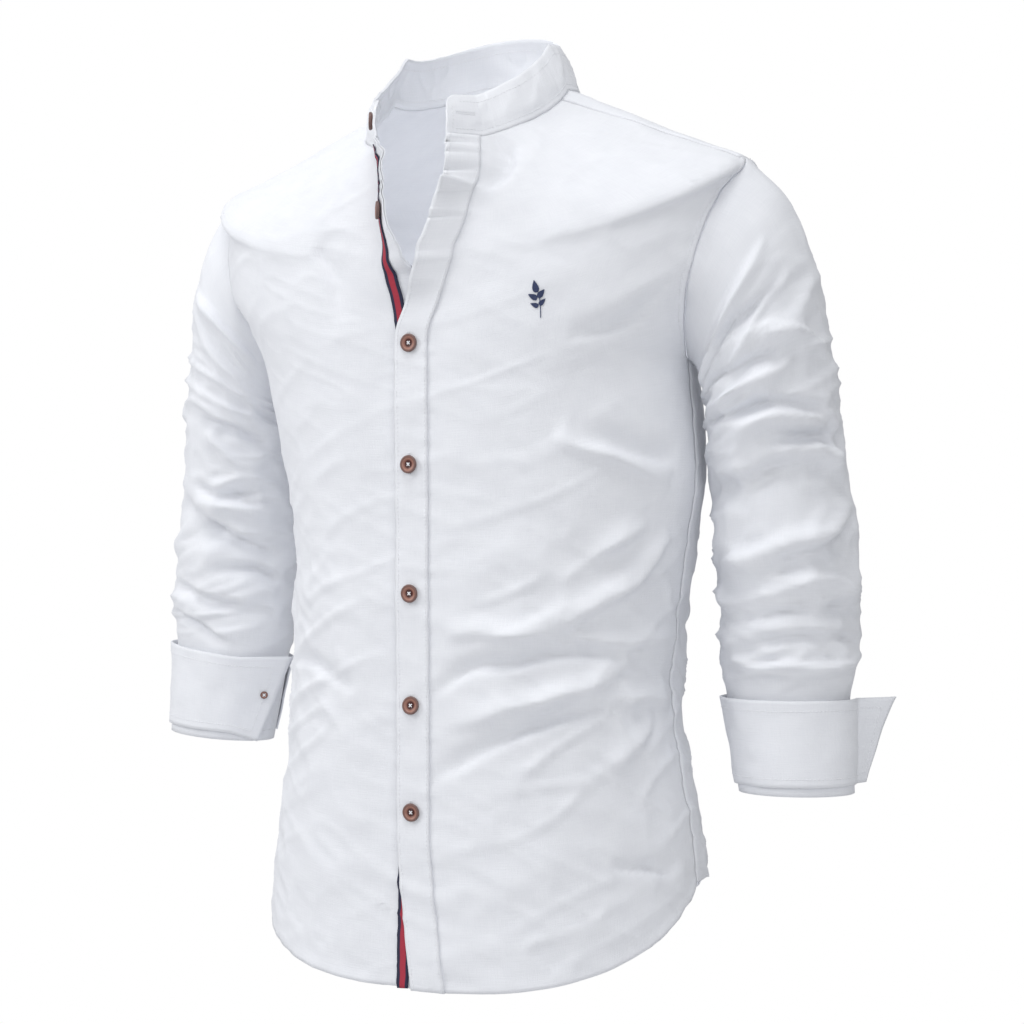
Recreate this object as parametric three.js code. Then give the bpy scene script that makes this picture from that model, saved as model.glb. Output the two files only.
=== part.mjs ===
// A white shirt with a stand collar, hollow as if worn, open at the neck, with turned-back cuffs.
// Millimetres, +Z up. The origin is the middle of the neck, level with the neck points of the
// shoulders. +X is the wearer's left and -Y the front.

import * as THREE from 'three';

// Cloth thicknesses, and the gap between neighbouring pieces
const PANEL_WALL = 1.5;
const STRIP_WALL = 1.0;
const COLLAR_WALL = 2.0;
const CUFF_WALL = 1.5;
const GAP = 0.3;
const FLARED_SEAM_GAP = { strip: 1.2, bend: 3.3 };
const TAPE_GAP = 0.5;

// Driving dimensions
const STRIP_STOPS = [-14, -3, 6, 16];
const SHOULDER_SEAM_FORWARD = 12;
const COLLAR_HEIGHT = { back: 44, side: 40, front: 35 };
const COLLAR_TOP_SHRINK = { across: 0.81, along: 0.89 };
const COLLAR_TOP_SHIFT = -3;
const COLLAR_RIGHT_LEAN = -9;
const COLLAR_END_ROUND = 9;
const FLARE = { from: 20, radius: 9, full: 0.3 };
const BUTTON = { radius: 7.4, height: 2.8, dish: 0.7, hub: 4.6 };
const CUFF_BUTTON = { radius: 3.4, height: 1.8, dish: 0.4, hub: 2.1 };
const PLACKET_BUTTON_Z = [-215, -312, -415, -505, -590];
const NECK_BUTTON_Z = -111;

// Small steps for the normals: down the rings, round them, across the columns, down a sleeve,
// round it, and up the collar or a cuff
const STEP = { ring: 0.02, angle: 0.01, column: 0.03, down: 0.03, round: 0.1, up: 0.05 };
const CURVE_STEPS = 400;

// Mesh cells across and along the pieces
const CELLS = { shoulder: 6, armhole: 10, skirt: 22, front: 9, back: 18, strip: 3, sleeve: 25, cuff: 4 };

// Rings round the body, from the neck seam to the hem: the height at the centre front, at each
// side and at the centre back, the reach to each side, to the front and to the back, the powers
// that bend the ring from the sides to both centres, and the reach of the armhole seam.
const RING_COLUMNS = [
  'zFront', 'zLeft', 'zRight', 'zBack', 'left', 'right', 'front', 'back', 'bendFront', 'bendBack',
  'arm',
];
const RINGS = [
  [-57, 0, 0, 20, 84, 84, 108, 80, 0.65, 2, 84],
  [-84, -23, -23, -10, 136, 136, 112, 96, 0.9, 2.2, 136],
  [-112, -46, -46, -44, 189, 189, 115, 106, 1.1, 2.2, 189],
  [-139, -68, -68, -78, 247, 247, 117, 112, 1.2, 2.2, 247],
  [-150, -80, -80, -90, 236, 236, 117.5, 114, 1.3, 2, 234],
  [-163, -95, -95, -105, 233, 233, 118, 116, 1.5, 2, 228],
  [-182, -118, -118, -128, 233, 233, 118, 118, 1.8, 2, 222],
  [-208, -152, -152, -160, 229, 229, 118, 118, 2, 2, 214],
  [-227, -177, -177, -184, 213, 213, 118, 118, 2, 2, 205],
  [-247, -206, -206, -211, 199, 199, 117, 117, 2, 2, 197],
  [-262, -226, -226, -230, 191, 191, 117, 116, 2, 2, 191],
  [-292, -262, -262, -265, 194, 182, 116, 114, 2, 2, 194],
  [-335, -319, -319, -320, 197, 170, 115, 110, 2, 2, 197],
  [-385, -377, -377, -378, 189, 160, 114, 106, 2, 2, 189],
  [-443, -440, -440, -441, 180, 161, 114, 105, 1.8, 2, 180],
  [-507, -502, -502, -505, 175, 163, 113, 107, 1.6, 2.1, 175],
  [-570, -552, -558, -568, 183, 169, 113, 110, 1.3, 2.3, 183],
  [-630, -592, -600, -632, 191, 178, 114, 113, 1.1, 2.6, 191],
  [-686, -626, -634, -692, 196, 184, 114, 115, 0.9, 2.9, 196],
  [-732, -648, -660, -746, 197, 187, 115, 116, 0.75, 3, 197],
];
const NECK = 0;
const SHOULDER_TIP = 3;
const UNDERARM = 10;
const HEM = RINGS.length - 1;
const RING_ROUNDNESS = 0.85;

// The front edges by height at the centre front: how far each button line is drawn aside, and
// the angle in radians by which each edge stands forward at the open neck.
const EDGE_COLUMNS = ['z', 'leftShift', 'leftTurn', 'rightShift', 'rightTurn'];
const EDGES = [
  [-57, 33, 0.3, -24, 0.6],
  [-67, 37, 0.36, -19, 0.74],
  [-83, 40, 0.45, -14.5, 0.9],
  [-106, 35, 0.5, -13, 0.9],
  [-133, 28.5, 0.42, -9, 0.85],
  [-148, 22.5, 0.36, -8, 0.5],
  [-160, 18.5, 0.3, -8, 0.05],
  [-177, 12.5, 0.14, -4, 0],
  [-207, 1, 0, 0, 0],
  [-235, 0, 0, 0, 0],
  [-600, 0, 0, 0, 0],
  [-662, 5, 0, 0, 0],
  [-732, 15, 0, 0, 0],
];

// Sections across each sleeve, from below the armhole to the wrist: the outer point, the inner
// point and half the depth from front to back. X counts outward from the body's middle.
const SECTION_COLUMNS = ['outX', 'outY', 'outZ', 'inX', 'inY', 'inZ', 'half'];
const SLEEVES = {
  left: [
    [275, 5, -105, 201, 8, -238, 52],
    [292, 12, -165, 206, 16, -262, 54],
    [303, 20, -235, 207, 20, -288, 54],
    [310, 28, -300, 207, 26, -330, 54],
    [316, 34, -385, 208, 32, -392, 54],
    [319, 34, -450, 211, 33, -452, 51],
    [316, 28, -498, 216, 28, -498, 42],
    [323, 20, -572, 230, 20, -573, 39],
  ],
  right: [
    [267, 5, -105, 200, 8, -238, 52],
    [284, 12, -165, 203, 16, -262, 54],
    [297, 20, -235, 203, 20, -288, 54],
    [308, 27, -300, 203, 26, -325, 54],
    [318, 32, -370, 205, 30, -378, 53],
    [325, 32, -430, 209, 31, -433, 51],
    [323, 28, -468, 216, 28, -482, 43],
    [327, 22, -548, 228, 22, -556, 40],
  ],
};
const CUFF_TOP = 7;
const SLEEVE_END = 8;

const clamp = (value, low, high) => Math.min(Math.max(value, low), high);
const mix = (a, b, share) => a + (b - a) * share;
const smooth = (value) => {
  const s = clamp(value, 0, 1);
  return s * s * (3 - 2 * s);
};
const power = (value, exponent) => Math.pow(Math.abs(value), exponent);

// Catmull-Rom curve through equally spaced values
function spline(values, t) {
  const last = values.length - 1;
  const at = clamp(t, 0, last);
  const i = Math.min(Math.floor(at), last - 1);
  const f = at - i;
  const p1 = values[i];
  const p2 = values[i + 1];
  const p0 = i > 0 ? values[i - 1] : 2 * p1 - p2;
  const p3 = i + 2 <= last ? values[i + 2] : 2 * p2 - p1;
  return p1 + 0.5 * f * (p2 - p0 + f * (2 * p0 - 5 * p1 + 4 * p2 - p3 + f * (3 * (p1 - p2) + p3 - p0)));
}

// One spline function for each named column of a table
function tracks(columns, rows) {
  return Object.fromEntries(columns.map((name, i) => {
    const values = rows.map((row) => row[i]);
    return [name, (t) => spline(values, t)];
  }));
}

const ring = tracks(RING_COLUMNS, RINGS);
const edge = tracks(EDGE_COLUMNS, EDGES);

// The place in the edge table of a height at the centre front
function edgeRow(z) {
  const last = EDGES.length - 1;
  for (let i = 0; i < last; i += 1) {
    if (z >= EDGES[i + 1][0]) return i + clamp((z - EDGES[i][0]) / (EDGES[i + 1][0] - EDGES[i][0]), 0, 1);
  }
  return last;
}

// Folds on the body: the two ends as girth angle in degrees (0 at the centre front, 90 at the
// wearer's left side, 180 at the centre back) and height, the bow of the line between them, the
// width and the lift, which is negative in a trough.
const BODY_FOLDS = [
  [4, -495, 62, -470, 20, 9, -6],
  [7, -452, 40, -441, 2, 10, 5],
  [36, -441, 79, -371, -5, 11, 6],
  [42, -446, 92, -450, -8, 9, 5],
  [4, -565, 56, -503, 9, 9, -6],
  [7, -520, 71, -467, -3, 12, 6],
  [53, -498, 88, -505, 1, 9, 4],
  [55, -551, 78, -510, -5, 10, 4],
  [35, -212, 63, -182, -6, 10, -4],
  [38, -284, 78, -309, -6, 12, -6],
  [34, -288, 74, -326, -3, 12, 5],
  [45, -385, 66, -358, 0, 10, 4],
  [52, -625, 78, -640, 0, 10, -4],
  [-58, -471, -17, -494, 7, 9, -5],
  [-17, -120, -14, -195, 0, 10, -3],
  [18, -96, 44, -54, 0, 9, -4],
  [110, -300, 165, -330, 6, 11, 5],
  [-165, -345, -115, -310, 6, 11, -5],
  [100, -440, 150, -470, -5, 11, -5],
  [-150, -475, -100, -450, 5, 11, 5],
  [120, -520, 175, -505, 4, 11, 5],
  [-175, -510, -120, -530, 4, 11, -5],
  [125, -210, 160, -180, 4, 12, -4],
  [-160, -170, -122, -215, 4, 12, 4],
];
const FOLD_MM_PER_DEGREE = 2.64;
const FOLD_END = 0.7;

// The lift of a set of folds at a place measured in millimetres along and across the cloth
function foldLift(folds, u, v) {
  let lift = 0;
  for (const [u0, v0, u1, v1, bow, width, height] of folds) {
    const length = Math.hypot(u1 - u0, v1 - v0);
    const du = (u1 - u0) / length;
    const dv = (v1 - v0) / length;
    const along = ((u - u0) * du + (v - v0) * dv) / length;
    if (along <= 0 || along >= 1) continue;
    const across = (v - v0) * du - (u - u0) * dv - 4 * bow * along * (1 - along);
    lift += height * power(Math.sin(Math.PI * along), FOLD_END) * Math.exp(-((across / width) ** 2));
  }
  return lift;
}

const scaled = (folds, perDegree) => folds.map(([u0, v0, u1, v1, ...rest]) => (
  [u0 * perDegree, v0, u1 * perDegree, v1, ...rest]
));
const BODY_FOLDS_MM = scaled(BODY_FOLDS, FOLD_MM_PER_DEGREE);

// A point on ring t at girth angle g in radians
function ringPoint(t, g) {
  const across = Math.sin(g);
  const along = Math.cos(g);
  const side = across >= 0 ? ring.left(t) : ring.right(t);
  const zSide = across >= 0 ? ring.zLeft(t) : ring.zRight(t);
  const depth = along >= 0 ? ring.front(t) : ring.back(t);
  const zCentre = along >= 0 ? ring.zFront(t) : ring.zBack(t);
  return new THREE.Vector3(
    Math.sign(across) * side * power(across, RING_ROUNDNESS),
    -Math.sign(along) * depth * power(along, RING_ROUNDNESS),
    mix(zSide, zCentre, power(along, along >= 0 ? ring.bendFront(t) : ring.bendBack(t))),
  );
}

// The smooth body, with the corner at the shoulder tips rounded by a mean of nearby rings
const TIP_ROUNDING = { reach: 0.5, from: 1, full: 2.5, fade: 5, end: 7, share: 0.5 };
function bodyBase(t, g) {
  const { reach, from, full, fade, end, share } = TIP_ROUNDING;
  const span = reach * smooth((t - from) / (full - from)) * (1 - smooth((t - fade) / (end - fade)));
  const point = ringPoint(t, g);
  if (span === 0) return point;
  const around = ringPoint(t - span, g).add(ringPoint(t + span, g)).multiplyScalar(0.5);
  return point.lerp(around, share);
}

// The normal of a surface given as a function of two parameters, by small steps
function normalOf(surface, u, v, du, dv) {
  const a = surface(u + du, v).sub(surface(u - du, v));
  const b = surface(u, v + dv).sub(surface(u, v - dv));
  return a.cross(b).normalize();
}

const bodyBaseNormal = (t, g) => normalOf(bodyBase, t, g, 2 * STEP.ring, 2 * STEP.angle);

// A point of the folded body
function body(t, g) {
  const point = bodyBase(t, g);
  const degrees = THREE.MathUtils.radToDeg(g);
  const wrapped = degrees > 180 ? degrees - 360 : degrees;
  const lift = foldLift(BODY_FOLDS_MM, wrapped * FOLD_MM_PER_DEGREE, point.z)
    + foldLift(BODY_FOLDS_MM, (wrapped < 0 ? wrapped + 360 : wrapped - 360) * FOLD_MM_PER_DEGREE, point.z);
  return lift === 0 ? point : point.addScaledVector(bodyBaseNormal(t, g), lift);
}

const bodyNormal = (t, g) => normalOf(body, t, g, STEP.ring, STEP.angle);

// The girth angle on the front where the ring reaches out to x
function angleAt(t, x) {
  const side = x >= 0 ? ring.left(t) : ring.right(t);
  return Math.sign(x) * Math.asin(power(clamp(Math.abs(x) / side, 0, 1), 1 / RING_ROUNDNESS));
}

// The girth angle, counted from the centre front, of a front's or the back's outer edge, which
// is the shoulder seam, then the armhole and then the side seam
function outerEdge(t, onFront) {
  if (t <= SHOULDER_TIP) {
    return Math.acos(power(SHOULDER_SEAM_FORWARD / ring.front(t), 1 / RING_ROUNDNESS));
  }
  if (t >= UNDERARM) return Math.PI / 2;
  const angle = Math.asin(power(clamp(ring.arm(t) / ring.left(t), 0, 1), 1 / RING_ROUNDNESS));
  return onFront ? angle : Math.PI - angle;
}

// Ring values from one to another, evenly spaced along a curve
function evenRows(from, to, cells, curve) {
  const steps = CURVE_STEPS;
  const marks = Array.from({ length: steps + 1 }, (_, i) => mix(from, to, i / steps));
  const reach = [0];
  for (let i = 1; i <= steps; i += 1) {
    reach.push(reach[i - 1] + curve(marks[i]).distanceTo(curve(marks[i - 1])));
  }
  return Array.from({ length: cells + 1 }, (_, k) => {
    const wanted = (reach[steps] * k) / cells;
    const i = clamp(reach.findIndex((r) => r >= wanted - 1e-9), 1, steps);
    return mix(marks[i - 1], marks[i], clamp((wanted - reach[i - 1]) / (reach[i] - reach[i - 1]), 0, 1));
  });
}

const armholePoint = (t) => bodyBase(t, outerEdge(clamp(t, SHOULDER_TIP + 1e-6, UNDERARM), true));
const ARMHOLE_ROWS = evenRows(SHOULDER_TIP, UNDERARM, CELLS.armhole, armholePoint);
const ROWS = [
  ...evenRows(NECK, SHOULDER_TIP, CELLS.shoulder, (t) => bodyBase(t, Math.PI / 2)).slice(0, -1),
  ...ARMHOLE_ROWS.slice(0, -1),
  ...evenRows(UNDERARM, HEM, CELLS.skirt, (t) => bodyBase(t, Math.PI / 4)),
];

// A closed wall over a grid of rows: the outer face is lifted off the grid along the normals,
// and the inner face lies the thickness behind it
function wall(grid, normals, lift, thickness, closed = false) {
  const rows = grid.length;
  const columns = grid[0].length;
  const positions = [];
  for (const offset of [lift, lift - thickness]) {
    for (let i = 0; i < rows; i += 1) {
      for (let j = 0; j < columns; j += 1) {
        const point = grid[i][j].clone().addScaledVector(normals[i][j], offset);
        positions.push(point.x, point.y, point.z);
      }
    }
  }
  const index = [];
  const at = (layer, i, j) => (layer * rows + i) * columns + (j % columns);
  const quad = (a, b, c, d) => index.push(a, b, c, a, c, d);
  const across = closed ? columns : columns - 1;
  for (let i = 0; i < rows - 1; i += 1) {
    for (let j = 0; j < across; j += 1) {
      quad(at(0, i, j), at(0, i, j + 1), at(0, i + 1, j + 1), at(0, i + 1, j));
      quad(at(1, i, j), at(1, i + 1, j), at(1, i + 1, j + 1), at(1, i, j + 1));
    }
  }
  for (let j = 0; j < across; j += 1) {
    const last = rows - 1;
    quad(at(0, 0, j), at(1, 0, j), at(1, 0, j + 1), at(0, 0, j + 1));
    quad(at(0, last, j), at(0, last, j + 1), at(1, last, j + 1), at(1, last, j));
  }
  if (!closed) {
    for (let i = 0; i < rows - 1; i += 1) {
      const last = columns - 1;
      quad(at(0, i, 0), at(0, i + 1, 0), at(1, i + 1, 0), at(1, i, 0));
      quad(at(0, i, last), at(1, i, last), at(1, i + 1, last), at(0, i + 1, last));
    }
  }
  return solid(positions, index);
}

// A geometry whose faces point out
function solid(positions, index) {
  const corner = (k) => new THREE.Vector3().fromArray(positions, 3 * index[k]);
  let volume = 0;
  for (let k = 0; k < index.length; k += 3) {
    volume += corner(k).dot(corner(k + 1).cross(corner(k + 2)));
  }
  if (volume < 0) index.reverse();
  const geometry = new THREE.BufferGeometry();
  geometry.setAttribute('position', new THREE.Float32BufferAttribute(positions, 3));
  geometry.setIndex(index);
  geometry.computeVertexNormals();
  return geometry;
}

// Grid and normals of a surface over its rows and columns
function gridOf(rows, columns, surface, normal) {
  return {
    grid: rows.map((t) => columns.map((c) => surface(t, c))),
    normals: rows.map((t) => columns.map((c) => normal(t, c))),
  };
}

const range = (count) => Array.from({ length: count + 1 }, (_, i) => i);

// The angle that is half a seam gap long on the body
function halfGap(t, g) {
  const step = STEP.angle / 10;
  return ((GAP / 2) * 2 * step) / body(t, g + step).distanceTo(body(t, g - step));
}

// The distance from the button line of column c of a strip, and the column at a distance from it.
// The side is 1 for the left front and -1 for the right.
function stripPlace(c, side) {
  const low = clamp(Math.floor(c), 0, CELLS.strip - 1);
  const stop = (k) => STRIP_STOPS[side > 0 ? k : CELLS.strip - k];
  return mix(stop(low), stop(low + 1), c - low);
}

const buttonColumn = (side) => (side > 0
  ? 1 + STRIP_STOPS[1] / (STRIP_STOPS[1] - STRIP_STOPS[2])
  : 1 + STRIP_STOPS[2] / (STRIP_STOPS[2] - STRIP_STOPS[1]));

// The girth angle of column c of a front. The first columns are the strip along its edge, and
// the rest run evenly to the outer edge.
function frontAngle(t, c, side) {
  const row = edgeRow(ring.zFront(t));
  const shift = side > 0 ? edge.leftShift(row) : edge.rightShift(row);
  if (c <= CELLS.strip) return angleAt(t, shift + stripPlace(c, side));
  const inner = frontAngle(t, CELLS.strip, side);
  const outer = outerEdge(t, true);
  const seam = t <= SHOULDER_TIP || t >= UNDERARM;
  const end = side * (seam ? outer - halfGap(t, side * outer) : outer);
  return mix(inner, end, (c - CELLS.strip) / CELLS.front);
}

// How far to the side the ring reaches at an angle on the front
function reachAt(t, g) {
  return Math.sign(g) * (g >= 0 ? ring.left(t) : ring.right(t)) * power(Math.sin(g), RING_ROUNDNESS);
}

// A front's point, sunk where it lies under the other front. The front's edge stands forward at
// the open neck, past a bend at a distance from its button line.
function flared(t, g, side, sink, sinkAtStart) {
  const row = edgeRow(ring.zFront(t));
  const shift = side > 0 ? edge.leftShift(row) : edge.rightShift(row);
  const turn = side > 0 ? edge.leftTurn(row) : edge.rightTurn(row);
  const flat = body(t, g).addScaledVector(bodyNormal(t, g), -sink);
  const startX = shift + side * FLARE.from;
  const past = side * (startX - reachAt(t, g));
  if (past <= 0 || turn <= 0) return flat;
  const start = angleAt(t, startX);
  const normal = bodyNormal(t, start);
  const onward = body(t, start - STEP.angle).sub(body(t, start + STEP.angle)).normalize();
  const bend = Math.min(past / FLARE.radius, turn);
  const rest = past - bend * FLARE.radius;
  const out = FLARE.radius * Math.sin(bend) + rest * Math.cos(bend);
  const rise = FLARE.radius * (1 - Math.cos(bend)) + rest * Math.sin(bend) - sinkAtStart;
  const standing = body(t, start).addScaledVector(onward, side * out).addScaledVector(normal, rise);
  return flat.lerp(standing, smooth(turn / FLARE.full));
}

const frontLeft = (t, c) => flared(t, frontAngle(t, c, 1), 1, 0, 0);
const frontLeftNormal = (t, c) => normalOf(frontLeft, t, c, STEP.ring, STEP.column);

// How deep the right front lies under the left one, the stand and the tape, how that fades over
// x, and the height where the fronts are closed with the span over which they part above it
const UNDER_DEPTH = PANEL_WALL + 2 * STRIP_WALL + 2 * GAP + TAPE_GAP;
const UNDER_FADE = { from: -24, to: -75 };
const CLOSED = { z: -205, span: 65 };
function frontRight(t, c) {
  const g = frontAngle(t, c, -1);
  const closed = 1 - smooth((ring.zFront(t) - CLOSED.z) / CLOSED.span);
  const aside = (UNDER_FADE.from - reachAt(t, g)) / (UNDER_FADE.from - UNDER_FADE.to);
  const sink = UNDER_DEPTH * closed;
  return flared(t, g, -1, sink * (1 - smooth(aside)), sink);
}
const frontRightNormal = (t, c) => normalOf(frontRight, t, c, STEP.ring, STEP.column).negate();

const cloth = { color: 0xe9ebef, roughness: 0.92, metalness: 0, side: THREE.DoubleSide };
const striped = { color: 0x9e2237, roughness: 0.8, metalness: 0 };
const buttonWood = { color: 0x6e3c2e, roughness: 0.45, metalness: 0 };

const group = new THREE.Group();

function add(name, geometry, finish) {
  const mesh = new THREE.Mesh(geometry, new THREE.MeshStandardMaterial(finish));
  mesh.name = name;
  group.add(mesh);
  return mesh;
}

// The two fronts, with the placket, the button stand and its tape
function addFronts() {
  const columns = range(CELLS.strip + CELLS.front);
  const strip = range(CELLS.strip);
  const left = gridOf(ROWS, columns, frontLeft, frontLeftNormal);
  add('front_left', wall(left.grid, left.normals, 0, PANEL_WALL), cloth);
  const placket = gridOf(ROWS, strip, frontLeft, frontLeftNormal);
  add('placket', wall(placket.grid, placket.normals, GAP + STRIP_WALL, STRIP_WALL), cloth);

  const right = gridOf(ROWS, columns, frontRight, frontRightNormal);
  add('front_right', wall(right.grid, right.normals, 0, PANEL_WALL), cloth);
  const stand = gridOf(ROWS, strip, frontRight, frontRightNormal);
  add('button_stand', wall(stand.grid, stand.normals, GAP + STRIP_WALL, STRIP_WALL), cloth);
  const beside = (rows) => rows.map((row) => row.slice(CELLS.strip - 1));
  const tapeLift = GAP + TAPE_GAP + 2 * STRIP_WALL;
  add('stripe_tape', wall(beside(stand.grid), beside(stand.normals), tapeLift, STRIP_WALL), striped);
}

// The back, from the left outer edge round to the right one
function backAngle(t, c) {
  const outer = outerEdge(t, false);
  const seam = t <= SHOULDER_TIP || t >= UNDERARM;
  const from = seam ? outer + halfGap(t, outer) : outer;
  const to = 2 * Math.PI - (seam ? outer + halfGap(t, -outer) : outer);
  return mix(from, to, c / CELLS.back);
}

const backPoint = (t, c) => body(t, backAngle(t, c));
const backNormal = (t, c) => bodyNormal(t, backAngle(t, c));

function addBack() {
  const { grid, normals } = gridOf(ROWS, range(CELLS.back), backPoint, backNormal);
  add('back', wall(grid, normals, 0, PANEL_WALL), cloth);
}

// The stand collar, rising from the neck seam on the same columns as the panels
const PANELS = {
  left: { point: frontLeft, normal: frontLeftNormal },
  back: { point: backPoint, normal: backNormal },
  right: { point: frontRight, normal: frontRightNormal },
};
function collarColumns() {
  const front = range(CELLS.strip + CELLS.front);
  const back = range(CELLS.back).slice(1, -1);
  return [
    ...front.map((c) => [PANELS.left, c]),
    ...back.map((c) => [PANELS.back, c]),
    ...front.slice(1).reverse().map((c) => [PANELS.right, c]),
  ];
}

function collarPoint(panel, c, h) {
  const seam = panel.point(NECK, c);
  const tangent = panel.point(NECK, c + STEP.column).sub(panel.point(NECK, c - STEP.column));
  const up = tangent.cross(panel.normal(NECK, c)).normalize();
  const rising = up.dot(seam.clone().sub(panel.point(NECK + STEP.ring, c))) > 0;
  const atBend = panel === PANELS.right && c > CELLS.strip - 1 && c <= CELLS.strip + 1;
  const onStrip = panel !== PANELS.back && c <= CELLS.strip + 1;
  const stripGap = onStrip ? FLARED_SEAM_GAP.strip : GAP;
  const gap = atBend ? FLARED_SEAM_GAP.bend : stripGap;
  const base = seam.addScaledVector(up, rising ? gap : -gap);
  const onFront = base.y < 0;
  const share = Math.abs(base.y) / (onFront ? ring.front(NECK) : ring.back(NECK));
  const height = mix(COLLAR_HEIGHT.side, onFront ? COLLAR_HEIGHT.front : COLLAR_HEIGHT.back, share);
  const lean = onFront && base.x < 0 ? COLLAR_RIGHT_LEAN * smooth(share) : 0;
  const top = new THREE.Vector3(
    base.x * COLLAR_TOP_SHRINK.across + COLLAR_TOP_SHIFT + lean,
    base.y * COLLAR_TOP_SHRINK.along,
    base.z + height,
  );
  return base.lerp(top, h);
}

// The normals of a grid from the points round each of its own
function normalsOf(grid) {
  const lastRow = grid.length - 1;
  const lastColumn = grid[0].length - 1;
  return grid.map((row, i) => row.map((_, j) => {
    const across = row[Math.min(j + 1, lastColumn)].clone().sub(row[Math.max(j - 1, 0)]);
    const along = grid[Math.min(i + 1, lastRow)][j].clone().sub(grid[Math.max(i - 1, 0)][j]);
    return across.cross(along).normalize();
  }));
}

const COLLAR_ROWS = [0, 0.4, 0.8, 1];
const COLLAR_BUTTON = { height: 0.5, lift: 1.2 };
function addCollar() {
  const columns = collarColumns();
  const last = columns.length - 1;
  const grid = COLLAR_ROWS.map((h) => columns.map(([panel, c]) => collarPoint(panel, c, h)));
  const normals = normalsOf(grid);
  normals[0] = columns.map(([panel, c]) => panel.normal(NECK, c));
  for (const [end, next] of [[0, 1], [last, last - 1]]) {
    COLLAR_ROWS.forEach((h, i) => {
      const rounded = COLLAR_END_ROUND * smooth(2 * h - 1) ** 2;
      const inward = grid[i][next].clone().sub(grid[i][end]).normalize();
      grid[i][end].addScaledVector(inward, rounded);
    });
  }
  add('collar_band', wall(grid, normals, 0, COLLAR_WALL), cloth);
  const middleOf = (c, h) => collarPoint(PANELS.right, c, h);
  const column = buttonColumn(-1);
  const height = COLLAR_BUTTON.height;
  const normal = normalOf(middleOf, column, height, 10 * STEP.column, 2 * STEP.up).negate();
  return { place: middleOf(column, height), normal };
}

// Folds on the sleeves: the two ends as the angle round the sleeve in degrees (0 outside, 90 in
// front, 180 inside) and the distance down the sleeve in sections, then bow, width and lift.
const SLEEVE_FOLDS = {
  left: [
    [47, 1.23, 150, 1.7, 0, 9, 5],
    [48, 1.9, 125, 1.55, 0, 8, -5],
    [-10, 2.95, 110, 1.9, 0, 9, 6],
    [55, 2.8, 138, 2.0, 0, 8, -6],
    [48, 2.95, 135, 2.66, 0, 8, 5],
    [17, 3.56, 137, 2.9, 0, 8, -6],
    [20, 3.7, 150, 2.85, 5, 9, 6],
    [-12, 3.8, 85, 3.65, 6, 9, -7],
    [-5, 4.07, 82, 3.9, 0, 8, 6],
    [-5, 4.33, 158, 3.95, 0, 13, -7],
    [0, 4.46, 138, 5.0, 6, 11, 8],
    [-8, 4.6, 93, 5.16, 0, 9, -8],
    [-18, 5.35, 93, 5.2, 0, 9, 5],
    [-8, 5.5, 125, 5.78, 0, 9, -8],
    [27, 5.58, 120, 5.83, 0, 8, 5],
    [-10, 6.0, 125, 6.1, -5, 8, -6],
    [-20, 6.25, 130, 6.3, 10, 9, 6],
    [215, 3.4, 300, 3.7, 4, 10, -5],
    [210, 4.2, 310, 4.4, 4, 10, 6],
    [215, 4.8, 305, 5.0, -4, 10, -6],
    [220, 5.5, 320, 5.6, 4, 10, 6],
  ],
  right: [
    [49, 1.6, 137, 0.8, 0, 9, 5],
    [75, 3.3, 149, 3.0, -3, 9, -6],
    [73, 4.35, 138, 4.2, 0, 8, -6],
    [73, 4.42, 160, 4.38, 3, 8, 6],
    [45, 4.5, 158, 5.2, 0, 10, -8],
    [95, 5.5, 165, 5.6, -6, 8, -6],
    [38, 5.7, 158, 6.2, 0, 8, -6],
    [44, 6.2, 115, 6.8, 0, 8, -5],
    [205, 3.5, 300, 3.7, 4, 10, -5],
    [210, 4.3, 310, 4.1, 4, 10, 6],
    [215, 4.9, 305, 5.1, -4, 10, -6],
    [205, 5.8, 310, 5.9, 0, 14, 7],
  ],
};
const SLEEVE_FOLDS_FROM = { at: 0.2, span: 0.8 };
const SLEEVE_FOLDS_TO = { at: CUFF_TOP - 0.3, span: 0.3 };
const SLEEVE_MM_PER_DEGREE = 0.98;
const SLEEVE_MM_PER_SECTION = 58;
const sleeveFoldsMm = Object.fromEntries(Object.entries(SLEEVE_FOLDS).map(([name, folds]) => [
  name,
  folds.map(([a0, s0, a1, s1, ...rest]) => [
    a0 * SLEEVE_MM_PER_DEGREE, s0 * SLEEVE_MM_PER_SECTION,
    a1 * SLEEVE_MM_PER_DEGREE, s1 * SLEEVE_MM_PER_SECTION, ...rest,
  ]),
]));

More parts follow.
